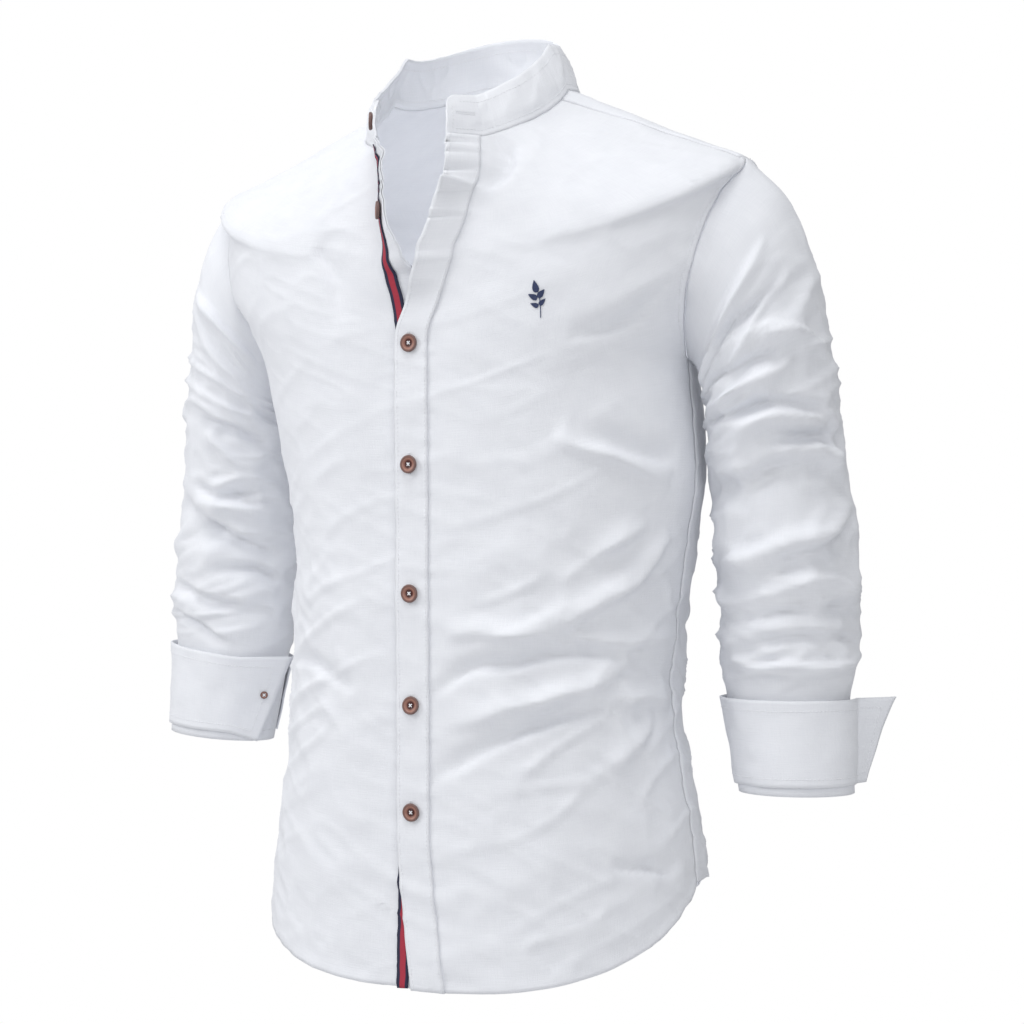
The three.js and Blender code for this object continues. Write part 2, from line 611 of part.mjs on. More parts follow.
// A sleeve's rings as functions of the column, which counts from the shoulder seam to the front
function makeSleeve(name) {
  const side = name === 'left' ? 1 : -1;
  const count = 2 * CELLS.armhole;
  const sections = SLEEVES[name];
  const seam = range(count - 1).map((j) => {
    const onFront = j <= CELLS.armhole;
    const t = ARMHOLE_ROWS[onFront ? j : count - j];
    const g = side * outerEdge(t, onFront);
    const normal = bodyNormal(t, g);
    return { point: body(t, g), normal };
  });
  const middle = new THREE.Vector3();
  seam.forEach(({ point: place }) => middle.addScaledVector(place, 1 / count));
  const seamAway = (j) => {
    const before = seam[(j + count - 1) % count].point;
    const after = seam[(j + 1) % count].point;
    const away = after.clone().sub(before).cross(seam[j].normal).normalize();
    const inward = away.dot(middle.clone().sub(seam[j].point)) > 0;
    return away.multiplyScalar(inward ? 1 : -1);
  };
  const start = range(count - 1).map((j) => (
    seam[j].point.clone().addScaledVector(seamAway(j), GAP)
  ));
  const sectionPoint = (k, angle) => {
    const [outX, outY, outZ, inX, inY, inZ, half] = sections[k - 1];
    const swing = Math.cos(angle);
    return new THREE.Vector3(
      side * (mix(inX, outX, 0.5) + ((outX - inX) / 2) * swing),
      mix(inY, outY, 0.5) + ((outY - inY) / 2) * swing - half * Math.sin(angle),
      mix(inZ, outZ, 0.5) + ((outZ - inZ) / 2) * swing,
    );
  };
  const startAt = (column) => {
    const wrapped = ((column % count) + count) % count;
    const low = Math.floor(wrapped);
    return start[low].clone().lerp(start[(low + 1) % count], wrapped - low);
  };
  const smoothPoint = (v, column) => {
    const angle = (2 * Math.PI * column) / count;
    const points = range(SLEEVE_END).map((k) => (k === 0 ? startAt(column) : sectionPoint(k, angle)));
    return new THREE.Vector3(...['x', 'y', 'z'].map((axis) => spline(points.map((p) => p[axis]), v)));
  };
  const smoothNormal = (v, column) => (
    normalOf(smoothPoint, v, column, 2 * STEP.down, 2 * STEP.round).multiplyScalar(-side)
  );
  const point = (v, column) => {
    const rising = smooth((v - SLEEVE_FOLDS_FROM.at) / SLEEVE_FOLDS_FROM.span);
    const fade = rising * (1 - smooth((v - SLEEVE_FOLDS_TO.at) / SLEEVE_FOLDS_TO.span));
    const place = smoothPoint(v, column);
    if (fade <= 0) return place;
    const degrees = (360 * column) / count;
    const down = v * SLEEVE_MM_PER_SECTION;
    const lift = [-360, 0, 360].reduce((sum, turn) => (
      sum + foldLift(sleeveFoldsMm[name], (degrees + turn) * SLEEVE_MM_PER_DEGREE, down)
    ), 0);
    return place.addScaledVector(smoothNormal(v, column), lift * fade);
  };
  const normal = (v, column) => (v === 0
    ? seam[((Math.round(column) % count) + count) % count].normal.clone()
    : normalOf(point, v, column, STEP.down, STEP.round).multiplyScalar(-side));
  return { side, count, point, normal };
}

const SLEEVE_HEAD_ROWS = [0, 0.12, 0.4, 0.7];
function addSleeve(name, sleeve) {
  const rows = [...SLEEVE_HEAD_ROWS, ...range(CELLS.sleeve).map((i) => mix(1, SLEEVE_END, i / CELLS.sleeve))];
  const columns = range(sleeve.count - 1);
  const { grid, normals } = gridOf(rows, columns, sleeve.point, sleeve.normal);
  add(`sleeve_${name}`, wall(grid, normals, 0, PANEL_WALL, true), cloth);
}

// The turned-back cuffs. Each follows the sleeve from its crease round to its other end, and
// past the crease a flap leaves the sleeve in a straight line.
const CUFFS = {
  left: {
    crease: -1,
    turn: 1,
    cells: 18,
    flap: { top: [0.75, 0.66, 0], bottom: [0.3, 0.95, 0], topLength: 34, bottomLength: 12 },
  },
  right: {
    crease: 7,
    turn: -1,
    cells: 15,
    flap: { top: [0.8, 0.6, 0], bottom: [0.8, 0.5, -0.3], topLength: 47, bottomLength: 26 },
  },
};
const CUFF_OVERLAP = 0.91;
const CUFF_STANDOFF = { bottom: 0.8, top: 4.2 };
const FLAP_CELLS = 3;
const FLAP_BUTTON = { height: 0.5, column: -0.7 * FLAP_CELLS };
function cuffPoint(name, sleeve, h, c) {
  const { crease, turn, flap } = CUFFS[name];
  const v = mix(CUFF_TOP + CUFF_OVERLAP, CUFF_TOP, h);
  const column = crease + turn * Math.max(c, 0);
  const standoff = mix(CUFF_STANDOFF.bottom, CUFF_STANDOFF.top, h) + CUFF_WALL;
  const place = sleeve.point(v, column).addScaledVector(sleeve.normal(v, column), standoff);
  if (c >= 0) return place;
  const share = -c / FLAP_CELLS;
  const way = new THREE.Vector3(...flap.bottom).lerp(new THREE.Vector3(...flap.top), h).normalize();
  return place.addScaledVector(way, mix(flap.bottomLength, flap.topLength, h) * share);
}

function addCuff(name, sleeve) {
  const { cells, turn } = CUFFS[name];
  const rows = range(CELLS.cuff).map((i) => i / CELLS.cuff);
  const columns = Array.from({ length: cells + FLAP_CELLS + 1 }, (_, i) => i - FLAP_CELLS);
  const surface = (h, c) => cuffPoint(name, sleeve, h, c);
  const away = sleeve.side * turn;
  const normal = (h, c) => normalOf(surface, h, c, STEP.up, STEP.round).multiplyScalar(away);
  const { grid, normals } = gridOf(rows, columns, surface, normal);
  add(`cuff_${name}`, wall(grid, normals, 0, CUFF_WALL), cloth);
  const { height, column } = FLAP_BUTTON;
  return { place: surface(height, column), normal: normal(height, column) };
}

// A turned button with a raised rim and a dished face
const BUTTON_EDGE = { below: 0.9, above: 0.8, widest: 0.45 };
function addButton(name, size, place, normal) {
  const { radius, height, dish, hub } = size;
  const profile = [
    [0, 0],
    [radius - BUTTON_EDGE.below, 0],
    [radius, height * BUTTON_EDGE.widest],
    [radius - BUTTON_EDGE.above, height],
    [hub, height - dish],
    [0, height - dish],
  ].map(([x, y]) => new THREE.Vector2(x, y));
  const geometry = new THREE.LatheGeometry(profile, 16);
  const mesh = add(name, geometry, buttonWood);
  mesh.quaternion.setFromUnitVectors(new THREE.Vector3(0, 1, 0), normal);
  mesh.position.copy(place);
}

// The ring value at which the centre front has a height
function rowAtHeight(z) {
  let low = NECK;
  let high = HEM;
  for (let i = 0; i < 40; i += 1) {
    const middle = (low + high) / 2;
    if (ring.zFront(middle) > z) low = middle;
    else high = middle;
  }
  return low;
}

function addButtons(collarSeat, cuffSeats) {
  const seat = (point, normal, lift) => point.clone().addScaledVector(normal, lift);
  const collarPlace = seat(collarSeat.place, collarSeat.normal, COLLAR_BUTTON.lift);
  addButton('button_1', BUTTON, collarPlace, collarSeat.normal);

  const neckRow = rowAtHeight(NECK_BUTTON_Z);
  const neckColumn = buttonColumn(-1);
  const neckNormal = frontRightNormal(neckRow, neckColumn);
  const neckLift = 2 * GAP + TAPE_GAP + 2 * STRIP_WALL;
  addButton('button_2', BUTTON, seat(frontRight(neckRow, neckColumn), neckNormal, neckLift), neckNormal);

  PLACKET_BUTTON_Z.forEach((z, i) => {
    const row = rowAtHeight(z);
    const column = buttonColumn(1);
    const normal = frontLeftNormal(row, column);
    const place = seat(frontLeft(row, column), normal, 2 * GAP + STRIP_WALL);
    addButton(`button_${i + 3}`, BUTTON, place, normal);
  });
  const { place: flapPlace, normal: flapNormal } = cuffSeats.right;
  addButton('cuff_button_right', CUFF_BUTTON, seat(flapPlace, flapNormal, GAP), flapNormal);
}

addFronts();
addBack();
const collarSeat = addCollar();
const cuffSeats = {};
for (const name of ['left', 'right']) {
  const sleeve = makeSleeve(name);
  addSleeve(name, sleeve);
  cuffSeats[name] = addCuff(name, sleeve);
}
addButtons(collarSeat, cuffSeats);

export default group;
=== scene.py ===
"""The looks of a white stand-collar shirt, hollow as if worn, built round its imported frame.

Sizes are millimetres until a mesh is made. The axes and the origin are the frame's: +Z up, +X
towards the wearer's left and -Y the front, with the origin in the middle of the neck.
"""

import math

import bpy
import numpy as np
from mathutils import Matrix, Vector


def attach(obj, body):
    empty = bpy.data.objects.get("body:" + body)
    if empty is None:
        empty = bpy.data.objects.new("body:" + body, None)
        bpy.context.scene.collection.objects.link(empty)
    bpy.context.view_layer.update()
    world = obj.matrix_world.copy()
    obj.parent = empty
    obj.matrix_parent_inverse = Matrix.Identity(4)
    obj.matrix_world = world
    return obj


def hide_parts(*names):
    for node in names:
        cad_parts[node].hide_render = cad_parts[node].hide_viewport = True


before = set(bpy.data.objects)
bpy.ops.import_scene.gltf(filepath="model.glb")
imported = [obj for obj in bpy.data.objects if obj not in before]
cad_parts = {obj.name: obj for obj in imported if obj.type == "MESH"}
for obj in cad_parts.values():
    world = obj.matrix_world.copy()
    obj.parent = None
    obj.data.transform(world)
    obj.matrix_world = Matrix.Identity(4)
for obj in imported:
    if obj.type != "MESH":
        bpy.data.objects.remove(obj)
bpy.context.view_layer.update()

MM = 0.001

# Camera, placed round the middle of the shirt's height
CAMERA_AZIMUTH = math.radians(27)
CAMERA_DISTANCE = 1820
CAMERA_ASIDE = 28
CAMERA_HEIGHT = -350
CAMERA_LENS = 75.52

# Cloth thicknesses, and how far each layer stands off the panel under it
PANEL_CLOTH = 0.9
STRIP_CLOTH = 0.8
STRIP_LIFT = 1.3
TAPE_LIFT = 2.8
COLLAR_CLOTH = 2.0
CUFF_CLOTH = 1.4
SEAM_GAP = 0.15
UNDER_DEPTH = 4.6

# Driving dimensions, as in the frame's solids
STRIP_STOPS = (-14, -3, 6, 16)
STRIP_COLUMNS = 3
FRONT_COLUMNS = 12
BACK_COLUMNS = 18
SHOULDER_SEAM_FORWARD = 12
COLLAR_HEIGHT = {"back": 44, "side": 40, "front": 35}
COLLAR_TOP_SHRINK = (0.81, 0.89)
COLLAR_TOP_SHIFT = -3
COLLAR_RIGHT_LEAN = -9
COLLAR_CORNER = 11
FLARE = {"from": 20, "radius": 9, "full": 0.3}
PLACKET_BUTTON_Z = (-215, -312, -415, -505, -590)
NECK_BUTTON_Z = -111
BUTTON_RADIUS = 7.4
CUFF_BUTTON_RADIUS = 3.4

# Mesh fineness
CELL = 3.3

# Rings round the body, from the neck seam to the hem
RING_COLUMNS = ("z_front", "z_left", "z_right", "z_back", "left", "right", "front", "back",
                "bend_front", "bend_back", "arm")
RINGS = (
    (-57, 0, 0, 20, 84, 84, 108, 80, 0.65, 2, 84),
    (-84, -23, -23, -10, 136, 136, 112, 96, 0.9, 2.2, 136),
    (-112, -46, -46, -44, 189, 189, 115, 106, 1.1, 2.2, 189),
    (-139, -68, -68, -78, 247, 247, 117, 112, 1.2, 2.2, 247),
    (-150, -80, -80, -90, 236, 236, 117.5, 114, 1.3, 2, 234),
    (-163, -95, -95, -105, 233, 233, 118, 116, 1.5, 2, 228),
    (-182, -118, -118, -128, 233, 233, 118, 118, 1.8, 2, 222),
    (-208, -152, -152, -160, 229, 229, 118, 118, 2, 2, 214),
    (-227, -177, -177, -184, 213, 213, 118, 118, 2, 2, 205),
    (-247, -206, -206, -211, 199, 199, 117, 117, 2, 2, 197),
    (-262, -226, -226, -230, 191, 191, 117, 116, 2, 2, 191),
    (-292, -262, -262, -265, 194, 182, 116, 114, 2, 2, 194),
    (-335, -319, -319, -320, 197, 170, 115, 110, 2, 2, 197),
    (-385, -377, -377, -378, 189, 160, 114, 106, 2, 2, 189),
    (-443, -440, -440, -441, 180, 161, 114, 105, 1.8, 2, 180),
    (-507, -502, -502, -505, 175, 163, 113, 107, 1.6, 2.1, 175),
    (-570, -552, -558, -568, 183, 169, 113, 110, 1.3, 2.3, 183),
    (-630, -592, -600, -632, 191, 178, 114, 113, 1.1, 2.6, 191),
    (-686, -626, -634, -692, 196, 184, 114, 115, 0.9, 2.9, 196),
    (-732, -648, -660, -746, 197, 187, 115, 116, 0.75, 3, 197),
)
NECK = 0
SHOULDER_TIP = 3
UNDERARM = 10
HEM = len(RINGS) - 1
RING_ROUNDNESS = 0.85
TIP_ROUNDING = {"reach": 0.5, "from": 1, "full": 2.5, "fade": 5, "end": 7}

# The front edges by height at the centre front: how far each button line is drawn aside, and the
# angle in radians by which each edge stands forward
EDGE_COLUMNS = ("z", "left_shift", "left_turn", "right_shift", "right_turn")
EDGES = (
    (-57, 33, 0.3, -24, 0.6),
    (-67, 37, 0.36, -19, 0.74),
    (-83, 40, 0.45, -14.5, 0.9),
    (-106, 35, 0.5, -13, 0.9),
    (-133, 28.5, 0.42, -9, 0.85),
    (-148, 22.5, 0.36, -8, 0.5),
    (-160, 18.5, 0.3, -8, 0.05),
    (-177, 12.5, 0.14, -4, 0),
    (-207, 1, 0, 0, 0),
    (-235, 0, 0, 0, 0),
    (-600, 0, 0, 0, 0),
    (-662, 5, 0, 0, 0),
    (-732, 15, 0, 0, 0),
)

# Sections across each sleeve: the outer point, the inner point and half the depth
SLEEVES = {
    "left": (
        (275, 5, -105, 201, 8, -238, 52),
        (292, 12, -165, 206, 16, -262, 54),
        (303, 20, -235, 207, 20, -288, 54),
        (310, 28, -300, 207, 26, -330, 54),
        (316, 34, -385, 208, 32, -392, 54),
        (319, 34, -450, 211, 33, -452, 51),
        (316, 28, -498, 216, 28, -498, 42),
        (323, 20, -572, 230, 20, -573, 39),
    ),
    "right": (
        (267, 5, -105, 200, 8, -238, 52),
        (284, 12, -165, 203, 16, -262, 54),
        (297, 20, -235, 203, 20, -288, 54),
        (308, 27, -300, 203, 26, -325, 54),
        (318, 32, -370, 205, 30, -378, 53),
        (325, 32, -430, 209, 31, -433, 51),
        (323, 28, -468, 216, 28, -482, 43),
        (327, 22, -548, 228, 22, -556, 40),
    ),
}
SLEEVE_COLUMNS = 20
CUFF_TOP = 7
SLEEVE_END = 8
CUFF_OVERLAP = 0.91
CUFF_STANDOFF = {"bottom": 0.8, "top": 4.2}
FLAP_COLUMNS = 3
CUFFS = {
    "left": {"crease": -1, "turn": 1, "columns": 18, "top": (0.75, 0.66, 0),
             "bottom": (0.3, 0.95, 0), "top_length": 34, "bottom_length": 12},
    "right": {"crease": 7, "turn": -1, "columns": 15, "top": (0.8, 0.6, 0),
              "bottom": (0.8, 0.5, -0.3), "top_length": 47, "bottom_length": 26},
}

# Folds on the body: both ends as girth angle and height, the bow, the width and the lift
BODY_MM_PER_DEGREE = 2.64
BODY_FOLDS = (
    (4, -495, 62, -470, 20, 9, -6),
    (7, -452, 40, -441, 2, 10, 5),
    (36, -441, 79, -371, -5, 11, 6),
    (42, -446, 92, -450, -8, 9, 5),
    (4, -565, 56, -503, 9, 9, -6),
    (7, -520, 71, -467, -3, 12, 6),
    (53, -498, 88, -505, 1, 9, 4),
    (55, -551, 78, -510, -5, 10, 4),
    (35, -212, 63, -182, -6, 10, -4),
    (38, -284, 78, -309, -6, 12, -6),
    (34, -288, 74, -326, -3, 12, 5),
    (45, -385, 66, -358, 0, 10, 4),
    (52, -625, 78, -640, 0, 10, -4),
    (-58, -471, -17, -494, 7, 9, -5),
    (-17, -120, -14, -195, 0, 10, -3),
    (18, -96, 44, -54, 0, 9, -4),
    (110, -300, 165, -330, 6, 11, 5),
    (-165, -345, -115, -310, 6, 11, -5),
    (100, -440, 150, -470, -5, 11, -5),
    (-150, -475, -100, -450, 5, 11, 5),
    (120, -520, 175, -505, 4, 11, 5),
    (-175, -510, -120, -530, 4, 11, -5),
    (125, -210, 160, -180, 4, 12, -4),
    (-160, -170, -122, -215, 4, 12, 4),
)

# Folds on the sleeves: both ends as the angle round the sleeve (0 outside, 90 in front) and the
# distance down it in sections, then the bow, the width and the lift
SLEEVE_MM_PER_DEGREE = 0.98
SLEEVE_MM_PER_SECTION = 58
SLEEVE_FOLDS = {
    "left": (
        (47, 1.23, 150, 1.7, 0, 9, 5),
        (48, 1.9, 125, 1.55, 0, 8, -5),
        (-10, 2.95, 110, 1.9, 0, 9, 6),
        (55, 2.8, 138, 2.0, 0, 8, -6),
        (48, 2.95, 135, 2.66, 0, 8, 5),
        (17, 3.56, 137, 2.9, 0, 8, -6),
        (20, 3.7, 150, 2.85, 5, 9, 6),
        (-12, 3.8, 85, 3.65, 6, 9, -7),
        (-5, 4.07, 82, 3.9, 0, 8, 6),
        (-5, 4.33, 158, 3.95, 0, 13, -7),
        (0, 4.46, 138, 5.0, 6, 11, 8),
        (-8, 4.6, 93, 5.16, 0, 9, -8),
        (-18, 5.35, 93, 5.2, 0, 9, 5),
        (-8, 5.5, 125, 5.78, 0, 9, -8),
        (27, 5.58, 120, 5.83, 0, 8, 5),
        (-10, 6.0, 125, 6.1, -5, 8, -6),
        (-20, 6.25, 130, 6.3, 10, 9, 6),
        (215, 3.4, 300, 3.7, 4, 10, -5),
        (210, 4.2, 310, 4.4, 4, 10, 6),
        (215, 4.8, 305, 5.0, -4, 10, -6),
        (220, 5.5, 320, 5.6, 4, 10, 6),
    ),
    "right": (
        (49, 1.6, 137, 0.8, 0, 9, 5),
        (75, 3.3, 149, 3.0, -3, 9, -6),
        (73, 4.35, 138, 4.2, 0, 8, -6),
        (73, 4.42, 160, 4.38, 3, 8, 6),
        (45, 4.5, 158, 5.2, 0, 10, -8),
        (95, 5.5, 165, 5.6, -6, 8, -6),
        (38, 5.7, 158, 6.2, 0, 8, -6),
        (44, 6.2, 115, 6.8, 0, 8, -5),
        (205, 3.5, 300, 3.7, 4, 10, -5),
        (210, 4.3, 310, 4.1, 4, 10, 6),
        (215, 4.9, 305, 5.1, -4, 10, -6),
        (205, 5.8, 310, 5.9, 0, 14, 7),
    ),
}
FOLD_LEAN = 0.45
FOLD_TIGHTNESS = 0.72
FOLD_GAIN = 1.5
FOLD_WANDER = 4.5

# Seam details
TOPSTITCH_BAND = 6.5
HEM_BAND = 8
STITCH = {"length": 2.3, "gap": 0.9, "radius": 0.28}


def mix(a, b, share):
    return a + (b - a) * share


def smooth(value):
    s = np.clip(value, 0, 1)
    return s * s * (3 - 2 * s)


def power(value, exponent):
    return np.abs(value) ** exponent


def unit(vectors):
    return vectors / np.maximum(np.linalg.norm(vectors, axis=-1, keepdims=True), 1e-9)


def spline(values, t):
    """Catmull-Rom curve through equally spaced values, which may be numbers or arrays."""
    values = np.asarray(values, float)
    last = len(values) - 1
    at = np.clip(np.asarray(t, float), 0, last)
    i = np.minimum(np.floor(at).astype(int), last - 1)
    extra = values.ndim - 1
    f = (at - i).reshape(at.shape + (1,) * extra)
    first = (i > 0).reshape(f.shape)
    before_last = (i + 2 <= last).reshape(f.shape)
    p1 = values[i]
    p2 = values[i + 1]
    p0 = np.where(first, values[np.maximum(i - 1, 0)], 2 * p1 - p2)
    p3 = np.where(before_last, values[np.minimum(i + 2, last)], 2 * p2 - p1)
    return p1 + 0.5 * f * (p2 - p0 + f * (2 * p0 - 5 * p1 + 4 * p2 - p3
                                          + f * (3 * (p1 - p2) + p3 - p0)))


def tracks(columns, rows):
    """One spline function for each named column of a table."""
    table = np.array(rows, float)
    return {name: (lambda t, k=k: spline(table[:, k], t)) for k, name in enumerate(columns)}


ring = tracks(RING_COLUMNS, RINGS)
edge = tracks(EDGE_COLUMNS, EDGES)


def edge_row(z):
    """The place in the edge table of a height at the centre front."""
    heights = [-row[0] for row in EDGES]
    return np.interp(-np.asarray(z, float), heights, range(len(EDGES)))


NOISE_SIDE = 32
noise_values = np.random.default_rng(11).uniform(-1, 1, (NOISE_SIDE,) * 3)


def noise(points, size, shift=0.0):
    """Smooth seeded noise from -1 to 1 in space, with lumps of about the given size."""
    q = np.asarray(points, float) / size + shift
    low = np.floor(q).astype(int)
    f = smooth(q - low)
    total = 0.0
    for dx in (0, 1):
        for dy in (0, 1):
            for dz in (0, 1):
                corner = [(low[..., k] + d) % NOISE_SIDE for k, d in enumerate((dx, dy, dz))]
                weight = 1.0
                for k, d in enumerate((dx, dy, dz)):
                    weight = weight * (f[..., k] if d else 1 - f[..., k])
                total = total + weight * noise_values[corner[0], corner[1], corner[2]]
    return total


def fold_lift(folds, u, v):
    """The lift of a set of folds at places measured in millimetres along and across the cloth.
    Each fold wanders a little off its line and leans, steeper on one side."""
    lift = np.zeros(np.broadcast(u, v).shape)
    place = np.stack(np.broadcast_arrays(u, v, np.zeros(1)), -1)
    wander = FOLD_WANDER * noise(place, 34)
    strength = 1 + 0.35 * noise(place, 22, 5.5)
    for u0, v0, u1, v1, bow, width, height in folds:
        length = math.hypot(u1 - u0, v1 - v0)
        du = (u1 - u0) / length
        dv = (v1 - v0) / length
        along = ((u - u0) * du + (v - v0) * dv) / length
        inside = np.clip(along, 0, 1)
        across = (v - v0) * du - (u - u0) * dv - 4 * bow * inside * (1 - inside) + wander
        spread = FOLD_TIGHTNESS * width * np.where(across > 0, 1 + FOLD_LEAN, 1 - FOLD_LEAN)
        fade = power(np.sin(math.pi * inside), 0.7) * ((along > 0) & (along < 1))
        lift += FOLD_GAIN * height * strength * fade * np.exp(-((across / spread) ** 2))
    return lift


def scaled(folds, per_u, per_v=1.0):
    return [(u0 * per_u, v0 * per_v, u1 * per_u, v1 * per_v, *rest)
            for u0, v0, u1, v1, *rest in folds]


BODY_FOLDS_MM = scaled(BODY_FOLDS, BODY_MM_PER_DEGREE)
SLEEVE_FOLDS_MM = {name: scaled(folds, SLEEVE_MM_PER_DEGREE, SLEEVE_MM_PER_SECTION)
                   for name, folds in SLEEVE_FOLDS.items()}


def ring_point(t, g):
    """Points on rings t at girth angles g in radians."""
    across = np.sin(g)
    along = np.cos(g)
    side = np.where(across >= 0, ring["left"](t), ring["right"](t))
    z_side = np.where(across >= 0, ring["z_left"](t), ring["z_right"](t))
    depth = np.where(along >= 0, ring["front"](t), ring["back"](t))
    z_centre = np.where(along >= 0, ring["z_front"](t), ring["z_back"](t))
    bend = np.where(along >= 0, ring["bend_front"](t), ring["bend_back"](t))
    return np.stack([
        np.sign(across) * side * power(across, RING_ROUNDNESS),
        -np.sign(along) * depth * power(along, RING_ROUNDNESS),
        mix(z_side, z_centre, power(along, bend)),
    ], -1)


def body_base(t, g):
    """The smooth body, with the corner at the shoulder tips rounded by a mean of near rings."""
    t, g = np.broadcast_arrays(np.asarray(t, float), np.asarray(g, float))
    rising = smooth((t - TIP_ROUNDING["from"]) / (TIP_ROUNDING["full"] - TIP_ROUNDING["from"]))
    falling = smooth((t - TIP_ROUNDING["fade"]) / (TIP_ROUNDING["end"] - TIP_ROUNDING["fade"]))
    span = TIP_ROUNDING["reach"] * rising * (1 - falling)
    around = 0.5 * (ring_point(t - span, g) + ring_point(t + span, g))
    return mix(ring_point(t, g), around, 0.5)


def normal_of(surface, a, b, da, db):
    """Normals of a surface given as a function of two parameters, by small steps."""
    first = surface(a + da, b) - surface(a - da, b)
    second = surface(a, b + db) - surface(a, b - db)
    return unit(np.cross(first, second))


def cloth_ripple(points):
    """The slight unevenness of washed cloth."""
    return 1.0 * noise(points, 70) + 0.6 * noise(points, 27, 3.1) + 0.2 * noise(points, 9, 7.7)


def creases(u, v, size, stretch, angle, shift):
    """Narrow branching ridges of crumpled cloth, from 0 to 1, drawn out along an angle."""
    along = (u * math.cos(angle) + v * math.sin(angle)) / stretch
    across = v * math.cos(angle) - u * math.sin(angle)
    place = np.stack(np.broadcast_arrays(along, across, np.zeros(1)), -1)
    return np.clip(1 - 2.6 * np.abs(noise(place, size, shift)), 0, 1) ** 1.4


def closed_creases(u, v, turn, *crease):
    """Creases on cloth that closes on itself after one turn, where u runs from 0 to the turn."""
    fade = smooth((u / turn - 0.8) / 0.2)
    return mix(creases(u, v, *crease), creases(u - turn, v, *crease), fade)


WAIST = {"z": -480, "span": 95}
NECKLINE = {"z": -230, "span": 90, "reach": 60}

# Creases: the size, how far they are drawn out, their angle and the shift in the noise
LONG_CREASES = (21, 3.2, 0.45, 1.5)
SHORT_CREASES = (13, 2.6, -0.5, 6.5)
COLLAR_CREASES = (15, 2.0, 0.9, 4.5)


def body_lift(t, g, points):
    degrees = np.degrees(g)
    wrapped = (degrees + 180) % 360 - 180
    height = points[..., 2]
    around = wrapped * BODY_MM_PER_DEGREE
    lift = fold_lift(BODY_FOLDS_MM, around, height)
    waist = np.exp(-(((height - WAIST["z"]) / WAIST["span"]) ** 2)) * smooth(np.abs(wrapped) / 40)
    low = smooth(-(height + 560) / 80)
    turn = 360 * BODY_MM_PER_DEGREE
    from_back = around + turn / 2
    neckline = (smooth((height - NECKLINE["z"]) / NECKLINE["span"])
                * np.exp(-((points[..., 0] / NECKLINE["reach"]) ** 2)))
    crumple = (0.9 + 2.6 * waist) * closed_creases(from_back, height, turn, *LONG_CREASES)
    crumple += (0.6 + 1.5 * waist + 0.9 * low) * closed_creases(from_back, height, turn, *SHORT_CREASES)
    lift += crumple * (1 - 0.95 * neckline)
    return lift + cloth_ripple(points)


def body(t, g):
    """The folded body."""
    points = body_base(t, g)
    normals = normal_of(body_base, t, g, 0.05, 0.02)
    return points + normals * body_lift(t, g, points)[..., None]


def body_normal(t, g):
    return normal_of(body, t, g, 0.02, 0.01)


def angle_at(t, x):
    """The girth angle on the front where the ring reaches out to x."""
    side = np.where(x >= 0, ring["left"](t), ring["right"](t))
    return np.sign(x) * np.arcsin(power(np.clip(np.abs(x) / side, 0, 1), 1 / RING_ROUNDNESS))


def reach_at(t, g):
    """How far to the side the ring reaches at an angle on the front."""
    side = np.where(g >= 0, ring["left"](t), ring["right"](t))
    return np.sign(g) * side * power(np.sin(g), RING_ROUNDNESS)


def outer_edge(t, on_front):
    """The girth angle, from the centre front, of a front's or the back's outer edge."""
    t = np.asarray(t, float)
    shoulder = np.arccos(power(SHOULDER_SEAM_FORWARD / ring["front"](t), 1 / RING_ROUNDNESS))
    share = np.clip(ring["arm"](t) / ring["left"](t), 0, 1)
    angle = np.arcsin(power(share, 1 / RING_ROUNDNESS))
    arm = angle if on_front else math.pi - angle
    return np.where(t <= SHOULDER_TIP, shoulder, np.where(t >= UNDERARM, math.pi / 2, arm))


def curve_marks(start, end, curve):
    """Marks along a curve and the length reached at each."""
    marks = np.linspace(start, end, 801)
    steps = np.linalg.norm(np.diff(curve(marks), axis=0), axis=1)
    return marks, np.concatenate([[0], np.cumsum(steps)])


def even_rows(start, end, curve):
    marks, reach = curve_marks(start, end, curve)
    cells = int(round(reach[-1] / CELL))
    return np.interp(np.linspace(0, reach[-1], cells + 1), reach, marks)


def armhole_point(t):
    return body_base(t, outer_edge(np.clip(t, SHOULDER_TIP + 1e-6, UNDERARM), True))


armhole_marks, armhole_reach = curve_marks(SHOULDER_TIP, UNDERARM, armhole_point)
BODY_ROWS = np.concatenate([
    even_rows(NECK, SHOULDER_TIP, lambda t: body_base(t, math.pi / 2))[:-1],
    even_rows(SHOULDER_TIP, UNDERARM, armhole_point)[:-1],
    even_rows(UNDERARM, HEM, lambda t: body_base(t, 0.8)),
])


def strip_place(c, side):
    """The distance from the button line of column c of a strip."""
    stops = STRIP_STOPS if side > 0 else STRIP_STOPS[::-1]
    return np.interp(c, range(len(stops)), stops)


def button_column(side):
    stops = STRIP_STOPS if side > 0 else STRIP_STOPS[::-1]
    return 1 + stops[1] / (stops[1] - stops[2])


def front_angle(t, c, side):
    """The girth angle of column c of a front. The first columns are the strip along its edge."""
    row = edge_row(ring["z_front"](t))
    shift = edge["left_shift" if side > 0 else "right_shift"](row)
    in_strip = angle_at(t, shift + strip_place(np.minimum(c, STRIP_COLUMNS), side))
    share = (c - STRIP_COLUMNS) / (FRONT_COLUMNS - STRIP_COLUMNS)
    beyond = mix(in_strip, side * outer_edge(t, True), np.maximum(share, 0))
    return np.where(c <= STRIP_COLUMNS, in_strip, beyond)


def back_angle(t, c):
    outer = outer_edge(t, False)
    return mix(outer, 2 * math.pi - outer, c / BACK_COLUMNS)


